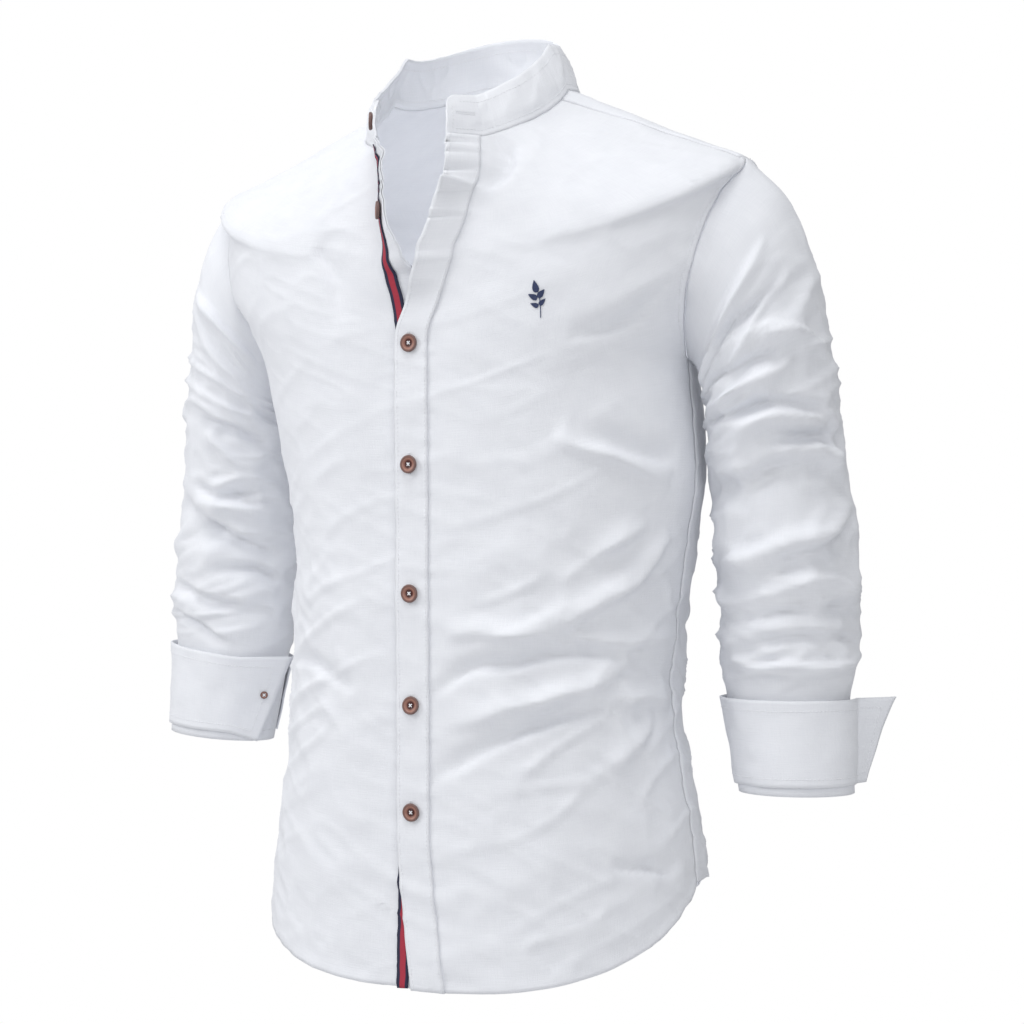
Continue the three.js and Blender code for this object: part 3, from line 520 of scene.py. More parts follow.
def seam_shape(t, g, outer, hem_share=1.0):
    """The lift of the folded hem and of the stitched band beside the armhole seam."""
    speed = np.linalg.norm(body_base(t, g + 0.01) - body_base(t, g - 0.01), axis=-1) / 0.02
    from_seam = np.abs(outer - np.abs(g)) * speed
    at_arm = smooth((t - SHOULDER_TIP) / 0.2) * (1 - smooth((t - UNDERARM + 0.4) / 0.4))
    band = 1 - smooth((from_seam - TOPSTITCH_BAND) / 1.6)
    groove = np.exp(-((from_seam / 1.1) ** 2))
    stitched = np.exp(-(((from_seam - TOPSTITCH_BAND) / 1.2) ** 2))
    drop = np.linalg.norm(body_base(t + 0.02, g) - body_base(t - 0.02, g), axis=-1) / 0.04
    from_hem = (HEM - t) * drop
    hem = 1 - smooth((from_hem - HEM_BAND) / 1.4)
    hem_line = np.exp(-(((from_hem - HEM_BAND) / 1.3) ** 2))
    points = body_base(t, g)
    pucker = noise(points, 5.5, 2.2) * np.exp(-((from_seam - TOPSTITCH_BAND) / 9) ** 2)
    hem_pucker = noise(points, 7, 4.2) * np.exp(-((from_hem / 16) ** 2))
    return (at_arm * (0.7 * band - 0.5 * stitched + 0.6 * pucker) - 0.7 * groove
            + hem_share * (0.5 * hem - 0.4 * hem_line + 0.6 * hem_pucker))


def strip_pucker(t, c, side):
    """Small creases across the strip beside its two rows of stitches."""
    z = ring["z_front"](t)
    x = strip_place(np.minimum(c, STRIP_COLUMNS), side)
    past = np.maximum(c - STRIP_COLUMNS, 0) * 24
    place = np.stack(np.broadcast_arrays(x * 0.35, past * 0.3, z), -1)
    near_inner = np.exp(-(((strip_place(STRIP_COLUMNS, side) - x) / 8) ** 2)) * np.exp(-((past / 8) ** 2))
    near_outer = np.exp(-(((x - strip_place(0, side)) / 5) ** 2)) * (past <= 0)
    calm = 1 - 0.8 * smooth((z + 230) / 60)
    return 0.55 * calm * noise(place, 5.5, 1.3) * (near_inner + 0.6 * near_outer)


def flared(t, g, side, sink, sink_at_start):
    """The body's point at a front's angle, sunk under the other front where they lap, with the
    front's edge standing forward at the open neck."""
    name = "left" if side > 0 else "right"
    row = edge_row(ring["z_front"](t))
    start_x = edge[f"{name}_shift"](row) + side * FLARE["from"]
    past = np.maximum(side * (start_x - reach_at(t, g)), 0)
    turn = np.maximum(edge[f"{name}_turn"](row), 0)
    flat = body(t, g) - body_normal(t, g) * sink[..., None]
    start_g = angle_at(t, start_x)
    normal = body_normal(t, start_g)
    onward = unit(body(t, start_g - side * 0.01) - body(t, start_g + side * 0.01))
    bend = np.minimum(past / FLARE["radius"], turn)
    rest = past - bend * FLARE["radius"]
    out = FLARE["radius"] * np.sin(bend) + rest * np.cos(bend)
    rise = FLARE["radius"] * (1 - np.cos(bend)) + rest * np.sin(bend) - sink_at_start
    standing = body(t, start_g) + onward * out[..., None] + normal * rise[..., None]
    share = np.where(past > 0, smooth(turn / FLARE["full"]), 0)
    return mix(flat, standing, share[..., None])


def front_left(t, c):
    return flared(t, front_angle(t, c, 1), 1, np.zeros(1), np.zeros(1))


UNDER_FADE = (-24, -75)
CLOSED = {"z": -205, "span": 65}


def front_right(t, c):
    """The right front lies under the left one where they are closed."""
    g = front_angle(t, c, -1)
    closed = 1 - smooth((ring["z_front"](t) - CLOSED["z"]) / CLOSED["span"])
    under = 1 - smooth((UNDER_FADE[0] - reach_at(t, g)) / (UNDER_FADE[0] - UNDER_FADE[1]))
    return flared(t, g, -1, UNDER_DEPTH * closed * under, UNDER_DEPTH * closed)


def back(t, c):
    return body(t, back_angle(t, c))


def front_seams(side):
    return lambda t, c: (seam_shape(t, front_angle(t, c, side), outer_edge(t, True))
                         + strip_pucker(t, c, side))


def back_seams(t, c):
    g = back_angle(t, c)
    return seam_shape(t, np.where(g > math.pi, 2 * math.pi - g, g), outer_edge(t, False))


def grid_normals(points, closed=False):
    if closed:
        ringed = np.concatenate([points[:, -1:], points, points[:, :1]], 1)
        across = ringed[:, 2:] - ringed[:, :-2]
    else:
        across = np.gradient(points, axis=1)
    return unit(np.cross(across, np.gradient(points, axis=0)))


def facing(normals, points, centre):
    """The normals turned to point away from the centre points, all together."""
    outward = (normals * (points - centre)).sum(-1).mean()
    return normals if outward > 0 else -normals


def body_axis(points):
    return points * np.array([0, 0, 1.0])


# Meshes


def mesh_object(name, vertices, faces, uvs, smooth_faces, material):
    """A mesh in metres from corner indices and one UV for each corner, faces pointing out."""
    data = bpy.data.meshes.new(name)
    data.from_pydata((vertices * MM).tolist(), [], faces.tolist())
    layer = data.uv_layers.new(name="Cloth")
    layer.data.foreach_set("uv", np.asarray(uvs, np.float32).reshape(-1))
    data.polygons.foreach_set("use_smooth", np.asarray(smooth_faces, bool))
    data.materials.append(material)
    data.update()
    piece = bpy.data.objects.new(name, data)
    bpy.context.scene.collection.objects.link(piece)
    return piece


def faces_out(vertices, faces):
    a, b, c, d = (vertices[faces[:, k]] for k in range(4))
    volume = (a * np.cross(b, c)).sum() + (a * np.cross(c, d)).sum()
    return volume > 0


def shell(name, points, normals, uv, thickness, material, closed=False):
    """A thin closed wall whose outer face is the grid, with crisp edges."""
    rows, columns = points.shape[:2]
    vertices = np.concatenate([points.reshape(-1, 3), (points - normals * thickness).reshape(-1, 3)])
    cells = columns if closed else columns - 1
    i, j = np.meshgrid(np.arange(rows - 1), np.arange(cells), indexing="ij")
    around = ((0, 0), (0, 1), (1, 1), (1, 0))

    def at(layer, row, column):
        return layer * rows * columns + row * columns + column % columns

    def quads(corners):
        index = np.stack([at(*corner) for corner in corners], -1).reshape(-1, 4)
        places = np.stack([uv[corner[1], corner[2]] for corner in corners], -2).reshape(-1, 4, 2)
        return index, places

    made = [
        quads([(0, i + a, j + b) for a, b in around]),
        quads([(1, i + a, j + b) for a, b in around[::-1]]),
    ]
    line = np.arange(cells)
    first = np.zeros(cells, int)
    last = first + rows - 1
    made.append(quads([(0, first, line), (1, first, line), (1, first, line + 1), (0, first, line + 1)]))
    made.append(quads([(0, last, line), (0, last, line + 1), (1, last, line + 1), (1, last, line)]))
    if not closed:
        line = np.arange(rows - 1)
        first = np.zeros(rows - 1, int)
        last = first + columns - 1
        made.append(quads([(0, line, first), (0, line + 1, first), (1, line + 1, first), (1, line, first)]))
        made.append(quads([(0, line, last), (1, line, last), (1, line + 1, last), (0, line + 1, last)]))
    faces = np.concatenate([m[0] for m in made])
    uvs = np.concatenate([m[1] for m in made])
    is_side = np.arange(len(faces)) < 2 * (rows - 1) * cells
    if not faces_out(vertices, faces):
        faces = faces[:, ::-1]
        uvs = uvs[:, ::-1]
    return mesh_object(name, vertices, faces, uvs, is_side, material)


def lengths(steps):
    """The length reached at each end of a row of steps."""
    return np.concatenate([[0], np.cumsum(steps)])


def lengths_uv(points, closed=False):
    """Millimetres across and down the cloth at each point of a grid."""
    wide = np.concatenate([points, points[:, :1]], 1) if closed else points
    across = np.linalg.norm(np.diff(wide, axis=1), axis=-1).mean(0)
    down = np.linalg.norm(np.diff(points, axis=0), axis=-1).mean(1)
    return np.stack(np.meshgrid(lengths(across), lengths(down)), -1)


def cloth_piece(name, node, points, normals, thickness, flat, area, material=None,
                slot="shirt_cloth", closed=False):
    uv = lengths_uv(points, closed)
    piece = shell(name, points, normals, uv, thickness, material or CLOTH, closed)
    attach(piece, "root")
    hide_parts(node)


def plain_piece(piece, slot, *nodes):
    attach(piece, "root")
    if nodes:
        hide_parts(*nodes)


# Materials


def new_material(name, colour, roughness):
    material = bpy.data.materials.new(name)
    material.use_nodes = True
    tree = material.node_tree
    shader = tree.nodes["Principled BSDF"]
    shader.inputs["Base Color"].default_value = (*colour, 1)
    shader.inputs["Roughness"].default_value = roughness
    return material, tree, shader


def add_node(tree, kind, values=None, links=None, **settings):
    made = tree.nodes.new(kind)
    for key, value in settings.items():
        setattr(made, key, value)
    for key, value in (values or {}).items():
        made.inputs[key].default_value = value
    for key, source in (links or {}).items():
        tree.links.new(source, made.inputs[key])
    return made


def stretched_noise(tree, uv, scale, detail=2.0):
    mapped = add_node(tree, "ShaderNodeMapping", {"Scale": scale}, {"Vector": uv})
    return add_node(tree, "ShaderNodeTexNoise", {"Scale": 1.0, "Detail": detail, "Roughness": 0.6},
                    {"Vector": mapped.outputs["Vector"]}).outputs["Fac"]


def combine(tree, operation, a, b):
    made = add_node(tree, "ShaderNodeMath", operation=operation)
    for k, source in enumerate((a, b)):
        if isinstance(source, (int, float)):
            made.inputs[k].default_value = source
        else:
            tree.links.new(source, made.inputs[k])
    return made.outputs[0]


def cloth_uv(tree):
    return add_node(tree, "ShaderNodeUVMap", uv_map="Cloth").outputs["UV"]


def add_bump(tree, shader, height, strength, distance):
    bump = add_node(tree, "ShaderNodeBump", {"Strength": strength, "Distance": distance},
                    {"Height": height})
    tree.links.new(bump.outputs["Normal"], shader.inputs["Normal"])


WEAVE_PITCH = 0.62


def woven(tree, shader, colour, dark):
    """A plain slub weave from the cloth's own millimetres, as colour and bump."""
    uv = cloth_uv(tree)
    warp_slub = stretched_noise(tree, uv, (1.7, 0.055, 1))
    weft_slub = stretched_noise(tree, uv, (0.05, 1.5, 1))
    fuzz = stretched_noise(tree, uv, (2.6, 2.6, 1), 3.0)
    broad = stretched_noise(tree, uv, (0.05, 0.05, 1), 1.0)
    threads = []
    for axis in ("X", "Y"):
        mapped = add_node(tree, "ShaderNodeMapping",
                          {"Scale": (1 / WEAVE_PITCH, 1 / WEAVE_PITCH, 1)}, {"Vector": uv})
        wave = add_node(tree, "ShaderNodeTexWave", {"Scale": 0.314, "Distortion": 0.6, "Detail": 1.0},
                        {"Vector": mapped.outputs["Vector"]}, bands_direction=axis)
        threads.append(wave.outputs["Fac"])
    weave = combine(tree, "MULTIPLY", threads[0], threads[1])
    slub = combine(tree, "ADD", warp_slub, weft_slub)
    height = combine(tree, "ADD", combine(tree, "MULTIPLY", slub, 1.1),
                     combine(tree, "ADD", combine(tree, "MULTIPLY", weave, 0.35),
                             combine(tree, "MULTIPLY", fuzz, 0.4)))
    add_bump(tree, shader, height, 0.5, 0.00032)
    tone = combine(tree, "ADD", combine(tree, "MULTIPLY", slub, 0.5), combine(tree, "MULTIPLY", broad, 0.3))
    ramp = add_node(tree, "ShaderNodeMapRange", {"From Min": 0.35, "From Max": 0.95}, {"Value": tone})
    blend = add_node(tree, "ShaderNodeMix", {"A": (*dark, 1), "B": (*colour, 1)},
                     {"Factor": ramp.outputs["Result"]}, data_type="RGBA")
    return blend.outputs["Result"]


def cloth_material():
    colour = (0.86, 0.875, 0.91)
    dark = (0.78, 0.795, 0.84)
    material, tree, shader = new_material("shirt_cloth", colour, 0.9)
    shader.inputs["Sheen Weight"].default_value = 0.12
    shader.inputs["Sheen Roughness"].default_value = 0.5
    shader.inputs["Specular IOR Level"].default_value = 0.25
    socket = woven(tree, shader, colour, dark)
    tree.links.new(socket, shader.inputs["Base Color"])
    return material


def thread_material():
    material, tree, shader = new_material("thread", (0.84, 0.85, 0.88), 0.7)
    add_bump(tree, shader, stretched_noise(tree, cloth_uv(tree), (6, 2, 1)), 0.3, 0.0001)
    return material


def ramp_of(tree, source, stops):
    ramp = add_node(tree, "ShaderNodeValToRGB", links={"Fac": source})
    while len(ramp.color_ramp.elements) < len(stops):
        ramp.color_ramp.elements.new(0.5)
    for element, (place, colour) in zip(ramp.color_ramp.elements, stops):
        element.position = place
        element.color = (*colour, 1)
    return ramp.outputs["Color"]


GRAIN_TONES = ((0.3, (0.6, 0.6, 0.6)), (0.7, (1, 1, 1)))


def grained(tree, shader, base, grain, share):
    """A colour darkened along a grain."""
    lit = add_node(tree, "ShaderNodeMix", {"Factor": share}, {"A": base}, data_type="RGBA",
                   blend_type="MULTIPLY")
    tree.links.new(ramp_of(tree, grain, GRAIN_TONES), lit.inputs["B"])
    tree.links.new(lit.outputs["Result"], shader.inputs["Base Color"])


TAPE_WIDTH = 11
NAVY = (0.018, 0.02, 0.055)
TAPE_RED = (0.42, 0.028, 0.055)


def tape_material():
    material, tree, shader = new_material("tape_stripe", TAPE_RED, 0.75)
    uv = cloth_uv(tree)
    across = add_node(tree, "ShaderNodeSeparateXYZ", links={"Vector": uv}).outputs["X"]
    share = combine(tree, "DIVIDE", across, TAPE_WIDTH)
    stops = ((0.0, NAVY), (0.24, NAVY), (0.28, TAPE_RED), (0.72, TAPE_RED), (0.76, NAVY))
    stripes = ramp_of(tree, share, stops)
    grain = stretched_noise(tree, uv, (0.8, 3.2, 1))
    grained(tree, shader, stripes, grain, 0.35)
    add_bump(tree, shader, grain, 0.5, 0.0003)
    return material


def button_material():
    """A turned brown button: a dull rim, a copper ring and a dark middle, by radius."""
    material, tree, shader = new_material("button_wood", (0.2, 0.09, 0.06), 0.38)
    uv = cloth_uv(tree)
    parts = add_node(tree, "ShaderNodeSeparateXYZ", links={"Vector": uv}).outputs
    stops = (
        (0.0, (0.075, 0.016, 0.012)), (0.42, (0.085, 0.02, 0.015)), (0.5, (0.3, 0.13, 0.095)),
        (0.66, (0.42, 0.21, 0.16)), (0.76, (0.24, 0.12, 0.095)), (1.0, (0.17, 0.1, 0.09)),
    )
    base = ramp_of(tree, parts["X"], stops)
    grain = stretched_noise(tree, uv, (26, 3, 1), 3.0)
    grained(tree, shader, base, grain, 0.5)
    add_bump(tree, shader, grain, 0.25, 0.0002)
    return material


def navy_thread_material():
    material, tree, shader = new_material("sprig_thread", (0.03, 0.045, 0.12), 0.6)
    add_bump(tree, shader, stretched_noise(tree, cloth_uv(tree), (0.6, 5, 1)), 0.6, 0.0002)
    return material


CLOTH = cloth_material()
THREAD = thread_material()
TAPE = tape_material()
BUTTON = button_material()
NAVY_THREAD = navy_thread_material()


# Stitches


def stitch_row(points, normals):
    """The corners and faces of one row of stitches along a line on the cloth."""
    steps = np.linalg.norm(np.diff(points, axis=0), axis=1)
    reach = lengths(steps)
    pitch = STITCH["length"] + STITCH["gap"]
    middles = np.arange(pitch / 2, reach[-1] - pitch / 2, pitch)

    def at(values, place):
        return np.stack([np.interp(place, reach, values[:, k]) for k in range(3)], -1)

    half = STITCH["length"] / 2
    radius = STITCH["radius"]
    centre = at(points, middles)
    along = unit(at(points, middles + half) - at(points, middles - half))
    up = unit(at(normals, middles))
    side = unit(np.cross(along, up))
    rings = []
    for place, size in ((-1, 0.35), (-0.7, 1), (0.7, 1), (1, 0.35)):
        core = centre + along * (half * place)
        for across, lift in ((-1, 0), (0, 1), (1, 0), (0, -1)):
            rings.append(core + side * (radius * size * across) + up * (radius * size * lift))
    corners = np.stack(rings, 1)
    faces = []
    for k in range(3):
        for m in range(4):
            n = (m + 1) % 4
            faces.append((4 * k + m, 4 * k + n, 4 * k + 4 + n, 4 * k + 4 + m))
    faces += [(3, 2, 1, 0), (12, 13, 14, 15)]
    count = len(middles)
    index = np.array(faces)[None] + (np.arange(count) * 16)[:, None, None]
    return corners.reshape(-1, 3), index.reshape(-1, 4)


def stitches(name, rows):
    """All rows of stitches of one seam, as one piece. A row is a line's points and normals."""
    corners = []
    faces = []
    offset = 0
    for points, normals in rows:
        made, index = stitch_row(points, normals)
        corners.append(made)
        faces.append(index + offset)
        offset += len(made)
    vertices = np.concatenate(corners)
    index = np.concatenate(faces)
    if not faces_out(vertices - vertices.mean(0), index):
        index = index[:, ::-1]
    uvs = vertices[index][..., :2]
    piece = mesh_object(name, vertices, index, uvs, np.ones(len(index), bool), THREAD)
    plain_piece(piece, "shirt_cloth")


def line_on(surface, a, b, da, db, lift):
    """Points and normals along a line on the body or a front, lifted off it."""
    a, b = np.broadcast_arrays(np.asarray(a, float), np.asarray(b, float))
    points = surface(a, b)
    normals = normal_of(surface, a, b, da, db)
    normals = facing(normals, points, body_axis(points))
    return points + normals * lift, normals


# The pieces


def front_columns():
    strip = np.linspace(0, STRIP_COLUMNS, 4 * STRIP_COLUMNS + 1)
    rest = np.linspace(STRIP_COLUMNS, FRONT_COLUMNS, 73)[1:]
    return strip, np.concatenate([strip, rest])


def body_panel(surface, seams, columns):
    t = BODY_ROWS[:, None]
    c = columns[None]
    points = surface(t, c)
    normals = facing(grid_normals(points), points, body_axis(points))
    points = points + normals * seams(t, c)[..., None]
    return points, facing(grid_normals(points), points, body_axis(points))


def make_fronts():
    strip, columns = front_columns()
    count = len(strip)
    cut = {"flat": (0.3, 0.78), "area": 0.18}
    strip_cut = {"flat": (0.03, 0.69), "area": 0.0205}
    left = body_panel(front_left, front_seams(1), columns)
    points, normals = left
    cloth_piece("front_left_cloth", "front_left", points, normals, PANEL_CLOTH, **cut)
    band, out = points[:, :count], normals[:, :count]
    cloth_piece("placket_cloth", "placket", band + out * STRIP_LIFT, out, STRIP_CLOTH, **strip_cut)
    rows = [(band[:, k] + out[:, k] * (STRIP_LIFT + 0.05), out[:, k]) for k in (1, count - 2)]
    right = body_panel(front_right, front_seams(-1), columns)
    points, normals = right
    cloth_piece("front_right_cloth", "front_right", points, normals, PANEL_CLOTH, **cut)
    band, out = points[:, :count], normals[:, :count]
    cloth_piece("button_stand_cloth", "button_stand", band + out * STRIP_LIFT, out, STRIP_CLOTH,
                **strip_cut)
    tape = slice(2 * count // 3, count)
    cloth_piece("stripe_tape_cloth", "stripe_tape", band[:, tape] + out[:, tape] * TAPE_LIFT,
                out[:, tape], STRIP_CLOTH, flat=(0.011, 0.69), area=0.0075, material=TAPE,
                slot="tape_stripe")
    stitches("placket_stitches", rows)
    return left, right


def make_back():
    points, normals = body_panel(back, back_seams, np.linspace(0, BACK_COLUMNS, 161))
    cloth_piece("back_cloth", "back", points, normals, PANEL_CLOTH, flat=(0.62, 0.8), area=0.4)
    return points, normals


COLLAR_ROWS = np.linspace(0, 1, 15)


def collar_grid(left, back_panel, right):
    """The collar's points, and the distance along its seam from its left end."""
    seam, below = (np.concatenate([left[0][row], back_panel[0][row, 1:-1], right[0][row, ::-1]])
                   for row in (0, 1))
    base = seam + unit(seam - below) * SEAM_GAP
    on_front = base[:, 1] < 0
    reach = np.where(on_front, ring["front"](NECK), ring["back"](NECK))
    end_height = np.where(on_front, COLLAR_HEIGHT["front"], COLLAR_HEIGHT["back"])
    height = mix(COLLAR_HEIGHT["side"], end_height, np.abs(base[:, 1]) / reach)
    frontness = np.abs(base[:, 1]) / reach
    lean = np.where(on_front & (base[:, 0] < 0), COLLAR_RIGHT_LEAN * smooth(frontness), 0)
    top = np.stack([
        base[:, 0] * COLLAR_TOP_SHRINK[0] + COLLAR_TOP_SHIFT + lean,
        base[:, 1] * COLLAR_TOP_SHRINK[1],
        base[:, 2] + height,
    ], -1)
    run = lengths(np.linalg.norm(np.diff(base, axis=0), axis=1))
    from_end = np.minimum(run, run[-1] - run)
    radius = COLLAR_CORNER
    cut = radius - np.sqrt(np.maximum(radius ** 2 - np.maximum(radius - from_end, 0) ** 2, 0))
    share = COLLAR_ROWS[:, None] * (1 - cut / height)[None]
    points = mix(base[None], top[None], share[..., None])
    normals = grid_normals(points)
    normals = facing(normals, points, body_axis(points))
    bow = 1.6 * np.sin(math.pi * share) + 0.9 * noise(points, 24, 6.1) + 0.35 * noise(points, 10, 2.9)
    bow = bow + 1.6 * creases(run[None], share * 40, *COLLAR_CREASES) * np.sin(math.pi * share)
    return points + normals * (bow * smooth(share / 0.3))[..., None], run


def make_collar(left, back_panel, right):
    points, run = collar_grid(left, back_panel, right)
    normals = facing(grid_normals(points), points, body_axis(points))
    cloth_piece("collar_cloth", "collar_band", points, normals, COLLAR_CLOTH, flat=(0.52, 0.045),
                area=0.021)
    rows = []
    for row, ends in ((2, 3), (11, 5)):
        line = slice(ends, len(run) - ends)
        rows.append((points[row, line] + normals[row, line] * 0.1, normals[row, line]))
        rows.append((points[row, line] - normals[row, line] * (COLLAR_CLOTH + 0.1), -normals[row, line]))
    end = int(np.searchsorted(run, 5))
    rows.append((points[2:12, end] + normals[2:12, end] * 0.1, normals[2:12, end]))
    stitches("collar_stitches", rows)
    return points, normals, run


class Sleeve:
    """One sleeve as functions of the distance down it and the column round it."""

    def __init__(self, name):
        self.name = name
        self.side = 1 if name == "left" else -1
        self.sections = np.array(SLEEVES[name], float)

    def seam(self, column):
        wrapped = np.mod(column, SLEEVE_COLUMNS)
        half = SLEEVE_COLUMNS / 2
        on_front = wrapped <= half
        share = np.where(on_front, wrapped, SLEEVE_COLUMNS - wrapped) / half
        t = np.interp(share * armhole_reach[-1], armhole_reach, armhole_marks)
        g = np.where(on_front, outer_edge(t + 1e-9, True), outer_edge(t + 1e-9, False))
        return t, self.side * g

    def start(self, column):
        t, g = self.seam(column)
        points = body(t, g)
        before = body(*self.seam(column - 0.25))
        after = body(*self.seam(column + 0.25))
        away = unit(np.cross(after - before, body_normal(t, g)))
        middle = body(*self.seam(np.arange(SLEEVE_COLUMNS))).mean(0)
        inward = (away * (middle - points)).sum(-1, keepdims=True) > 0
        return points + np.where(inward, away, -away) * SEAM_GAP

    def rings(self, column):
        angle = 2 * math.pi * np.asarray(column, float) / SLEEVE_COLUMNS
        rings = [self.start(np.asarray(column, float))]
        for out_x, out_y, out_z, in_x, in_y, in_z, half in self.sections:
            swing = np.cos(angle)
            rings.append(np.stack([
                self.side * (mix(in_x, out_x, 0.5) + (out_x - in_x) / 2 * swing),
                mix(in_y, out_y, 0.5) + (out_y - in_y) / 2 * swing - half * np.sin(angle),
                mix(in_z, out_z, 0.5) + (out_z - in_z) / 2 * swing,
            ], -1))
        return np.stack(rings)

    def smooth_points(self, v, column):
        return spline(self.rings(column), v)

    def smooth_normals(self, v, column):
        step = 0.05
        first = self.smooth_points(v + step, column) - self.smooth_points(v - step, column)
        second = self.smooth_points(v, column + 0.2) - self.smooth_points(v, column - 0.2)
        return unit(np.cross(first, second)) * -self.side

    def points(self, v, column):
        """A grid over rows v and columns."""
        v = np.asarray(v, float)
        column = np.asarray(column, float)
        place = self.smooth_points(v, column)
        fade = smooth((v - 0.2) / 0.8) * (1 - smooth((v - CUFF_TOP + 0.3) / 0.3))
        degrees = 360 * column / SLEEVE_COLUMNS
        down = v[:, None] * SLEEVE_MM_PER_SECTION
        lift = np.zeros((len(v), len(column)))
        for turn in (-360, 0, 360):
            around = (degrees + turn)[None] * SLEEVE_MM_PER_DEGREE
            lift += fold_lift(SLEEVE_FOLDS_MM[self.name], around, down)
        crumpled = smooth((v - 0.8) / 1.6) * (1 - 0.6 * smooth((v - 6) / 0.8))
        around = (degrees * SLEEVE_MM_PER_DEGREE)[None]
        girth = 360 * SLEEVE_MM_PER_DEGREE
        lift += crumpled[:, None] * (4.4 * closed_creases(around, down, girth, 17, 3.0, 0.2 * self.side, 2.5)
                                     + 2.0 * closed_creases(around, down, girth, 10, 2.4, -0.35, 9.5))
        lift = lift * fade[:, None] + cloth_ripple(place) * smooth(v / 0.4)[:, None]
        head = smooth(v / 0.06)[:, None]
        pucker = noise(place, 7, 8.8) * np.exp(-((v / 0.25) ** 2))[:, None]
        lift += 0.7 * pucker * head - 0.6 * (1 - head)
        return place + self.smooth_normals(v, column) * lift[..., None]

    def centre(self, v):
        columns = np.arange(SLEEVE_COLUMNS)
        return self.smooth_points(np.asarray(v, float), columns).mean(1)[:, None]

    def normals(self, v, column):
        step = 0.03
        first = self.points(v + step, column) - self.points(v - step, column)
        second = self.points(v, column + 0.1) - self.points(v, column - 0.1)
        return unit(np.cross(first, second)) * -self.side


def make_sleeve(sleeve):
    rows = np.linspace(0, SLEEVE_END, 152)
    columns = np.linspace(0, SLEEVE_COLUMNS, 105)[:-1]
    points = sleeve.points(rows, columns)
    normals = facing(grid_normals(points, closed=True), points, sleeve.centre(rows))
    cloth_piece(f"sleeve_{sleeve.name}_cloth", f"sleeve_{sleeve.name}", points, normals, PANEL_CLOTH,
                flat=(0.36, 0.52), area=0.17, closed=True)
    hem = np.array([SLEEVE_END - 0.12])
    ringed = np.linspace(0, SLEEVE_COLUMNS, 105)
    rows = [(sleeve.points(hem, ringed)[0], sleeve.normals(hem, ringed)[0])]
    stitches(f"sleeve_{sleeve.name}_stitches", [(p + n * 0.1, n) for p, n in rows])


def cuff_surface(sleeve, h, c):
    """The turned-back cuff. Past its crease a flap leaves the sleeve in a straight line."""
    cuff = CUFFS[sleeve.name]
    v = mix(CUFF_TOP + CUFF_OVERLAP, CUFF_TOP, h)
    column = cuff["crease"] + cuff["turn"] * np.maximum(c, 0)
    standoff = mix(CUFF_STANDOFF["bottom"], CUFF_STANDOFF["top"], h) + 1.5
    place = sleeve.points(v, column) + sleeve.normals(v, column) * standoff[:, None, None]
    share = (np.maximum(-c, 0) / FLAP_COLUMNS)[None, :, None]
    way = unit(mix(np.array(cuff["bottom"], float), np.array(cuff["top"], float), h[:, None]))
    reach = mix(cuff["bottom_length"], cuff["top_length"], h)
    return place + way[:, None] * reach[:, None, None] * share


def make_cuff(sleeve):
    cuff = CUFFS[sleeve.name]
    h = np.linspace(0, 1, 22)
    flap = np.linspace(-FLAP_COLUMNS, 0, 11)[:-1]
    c = np.concatenate([flap, np.linspace(0, cuff["columns"], 4 * cuff["columns"] + 1)])
    points = cuff_surface(sleeve, h, c)
    normals = grid_normals(points)
    columns = cuff["crease"] + cuff["turn"] * np.maximum(c, 0)
    middle = sleeve.centre(mix(CUFF_TOP + CUFF_OVERLAP, CUFF_TOP, h))
    on_sleeve = c >= 0
    outward = (normals[:, on_sleeve] * (points[:, on_sleeve] - middle)).sum(-1).mean()
    normals = normals if outward > 0 else -normals
    ripple = 1.1 * noise(points, 23, 9.4) + 0.4 * noise(points, 9, 1.7)
    points = points + normals * ripple[..., None]
    cloth_piece(f"cuff_{sleeve.name}_cloth", f"cuff_{sleeve.name}", points, normals, CUFF_CLOTH,
                flat=(0.29, 0.062), area=0.0165)
    rows = []
    for row in (2, 18):
        rows.append((points[row, 3:-3] + normals[row, 3:-3] * 0.1, normals[row, 3:-3]))
    rows.append((points[2:19, 3] + normals[2:19, 3] * 0.1, normals[2:19, 3]))
    stitches(f"cuff_{sleeve.name}_stitches", rows)
    row = len(h) // 2
    column = int(np.argmin(np.abs(c + FLAP_COLUMNS * 0.7)))
    return points[row, column], normals[row, column]


# Buttons


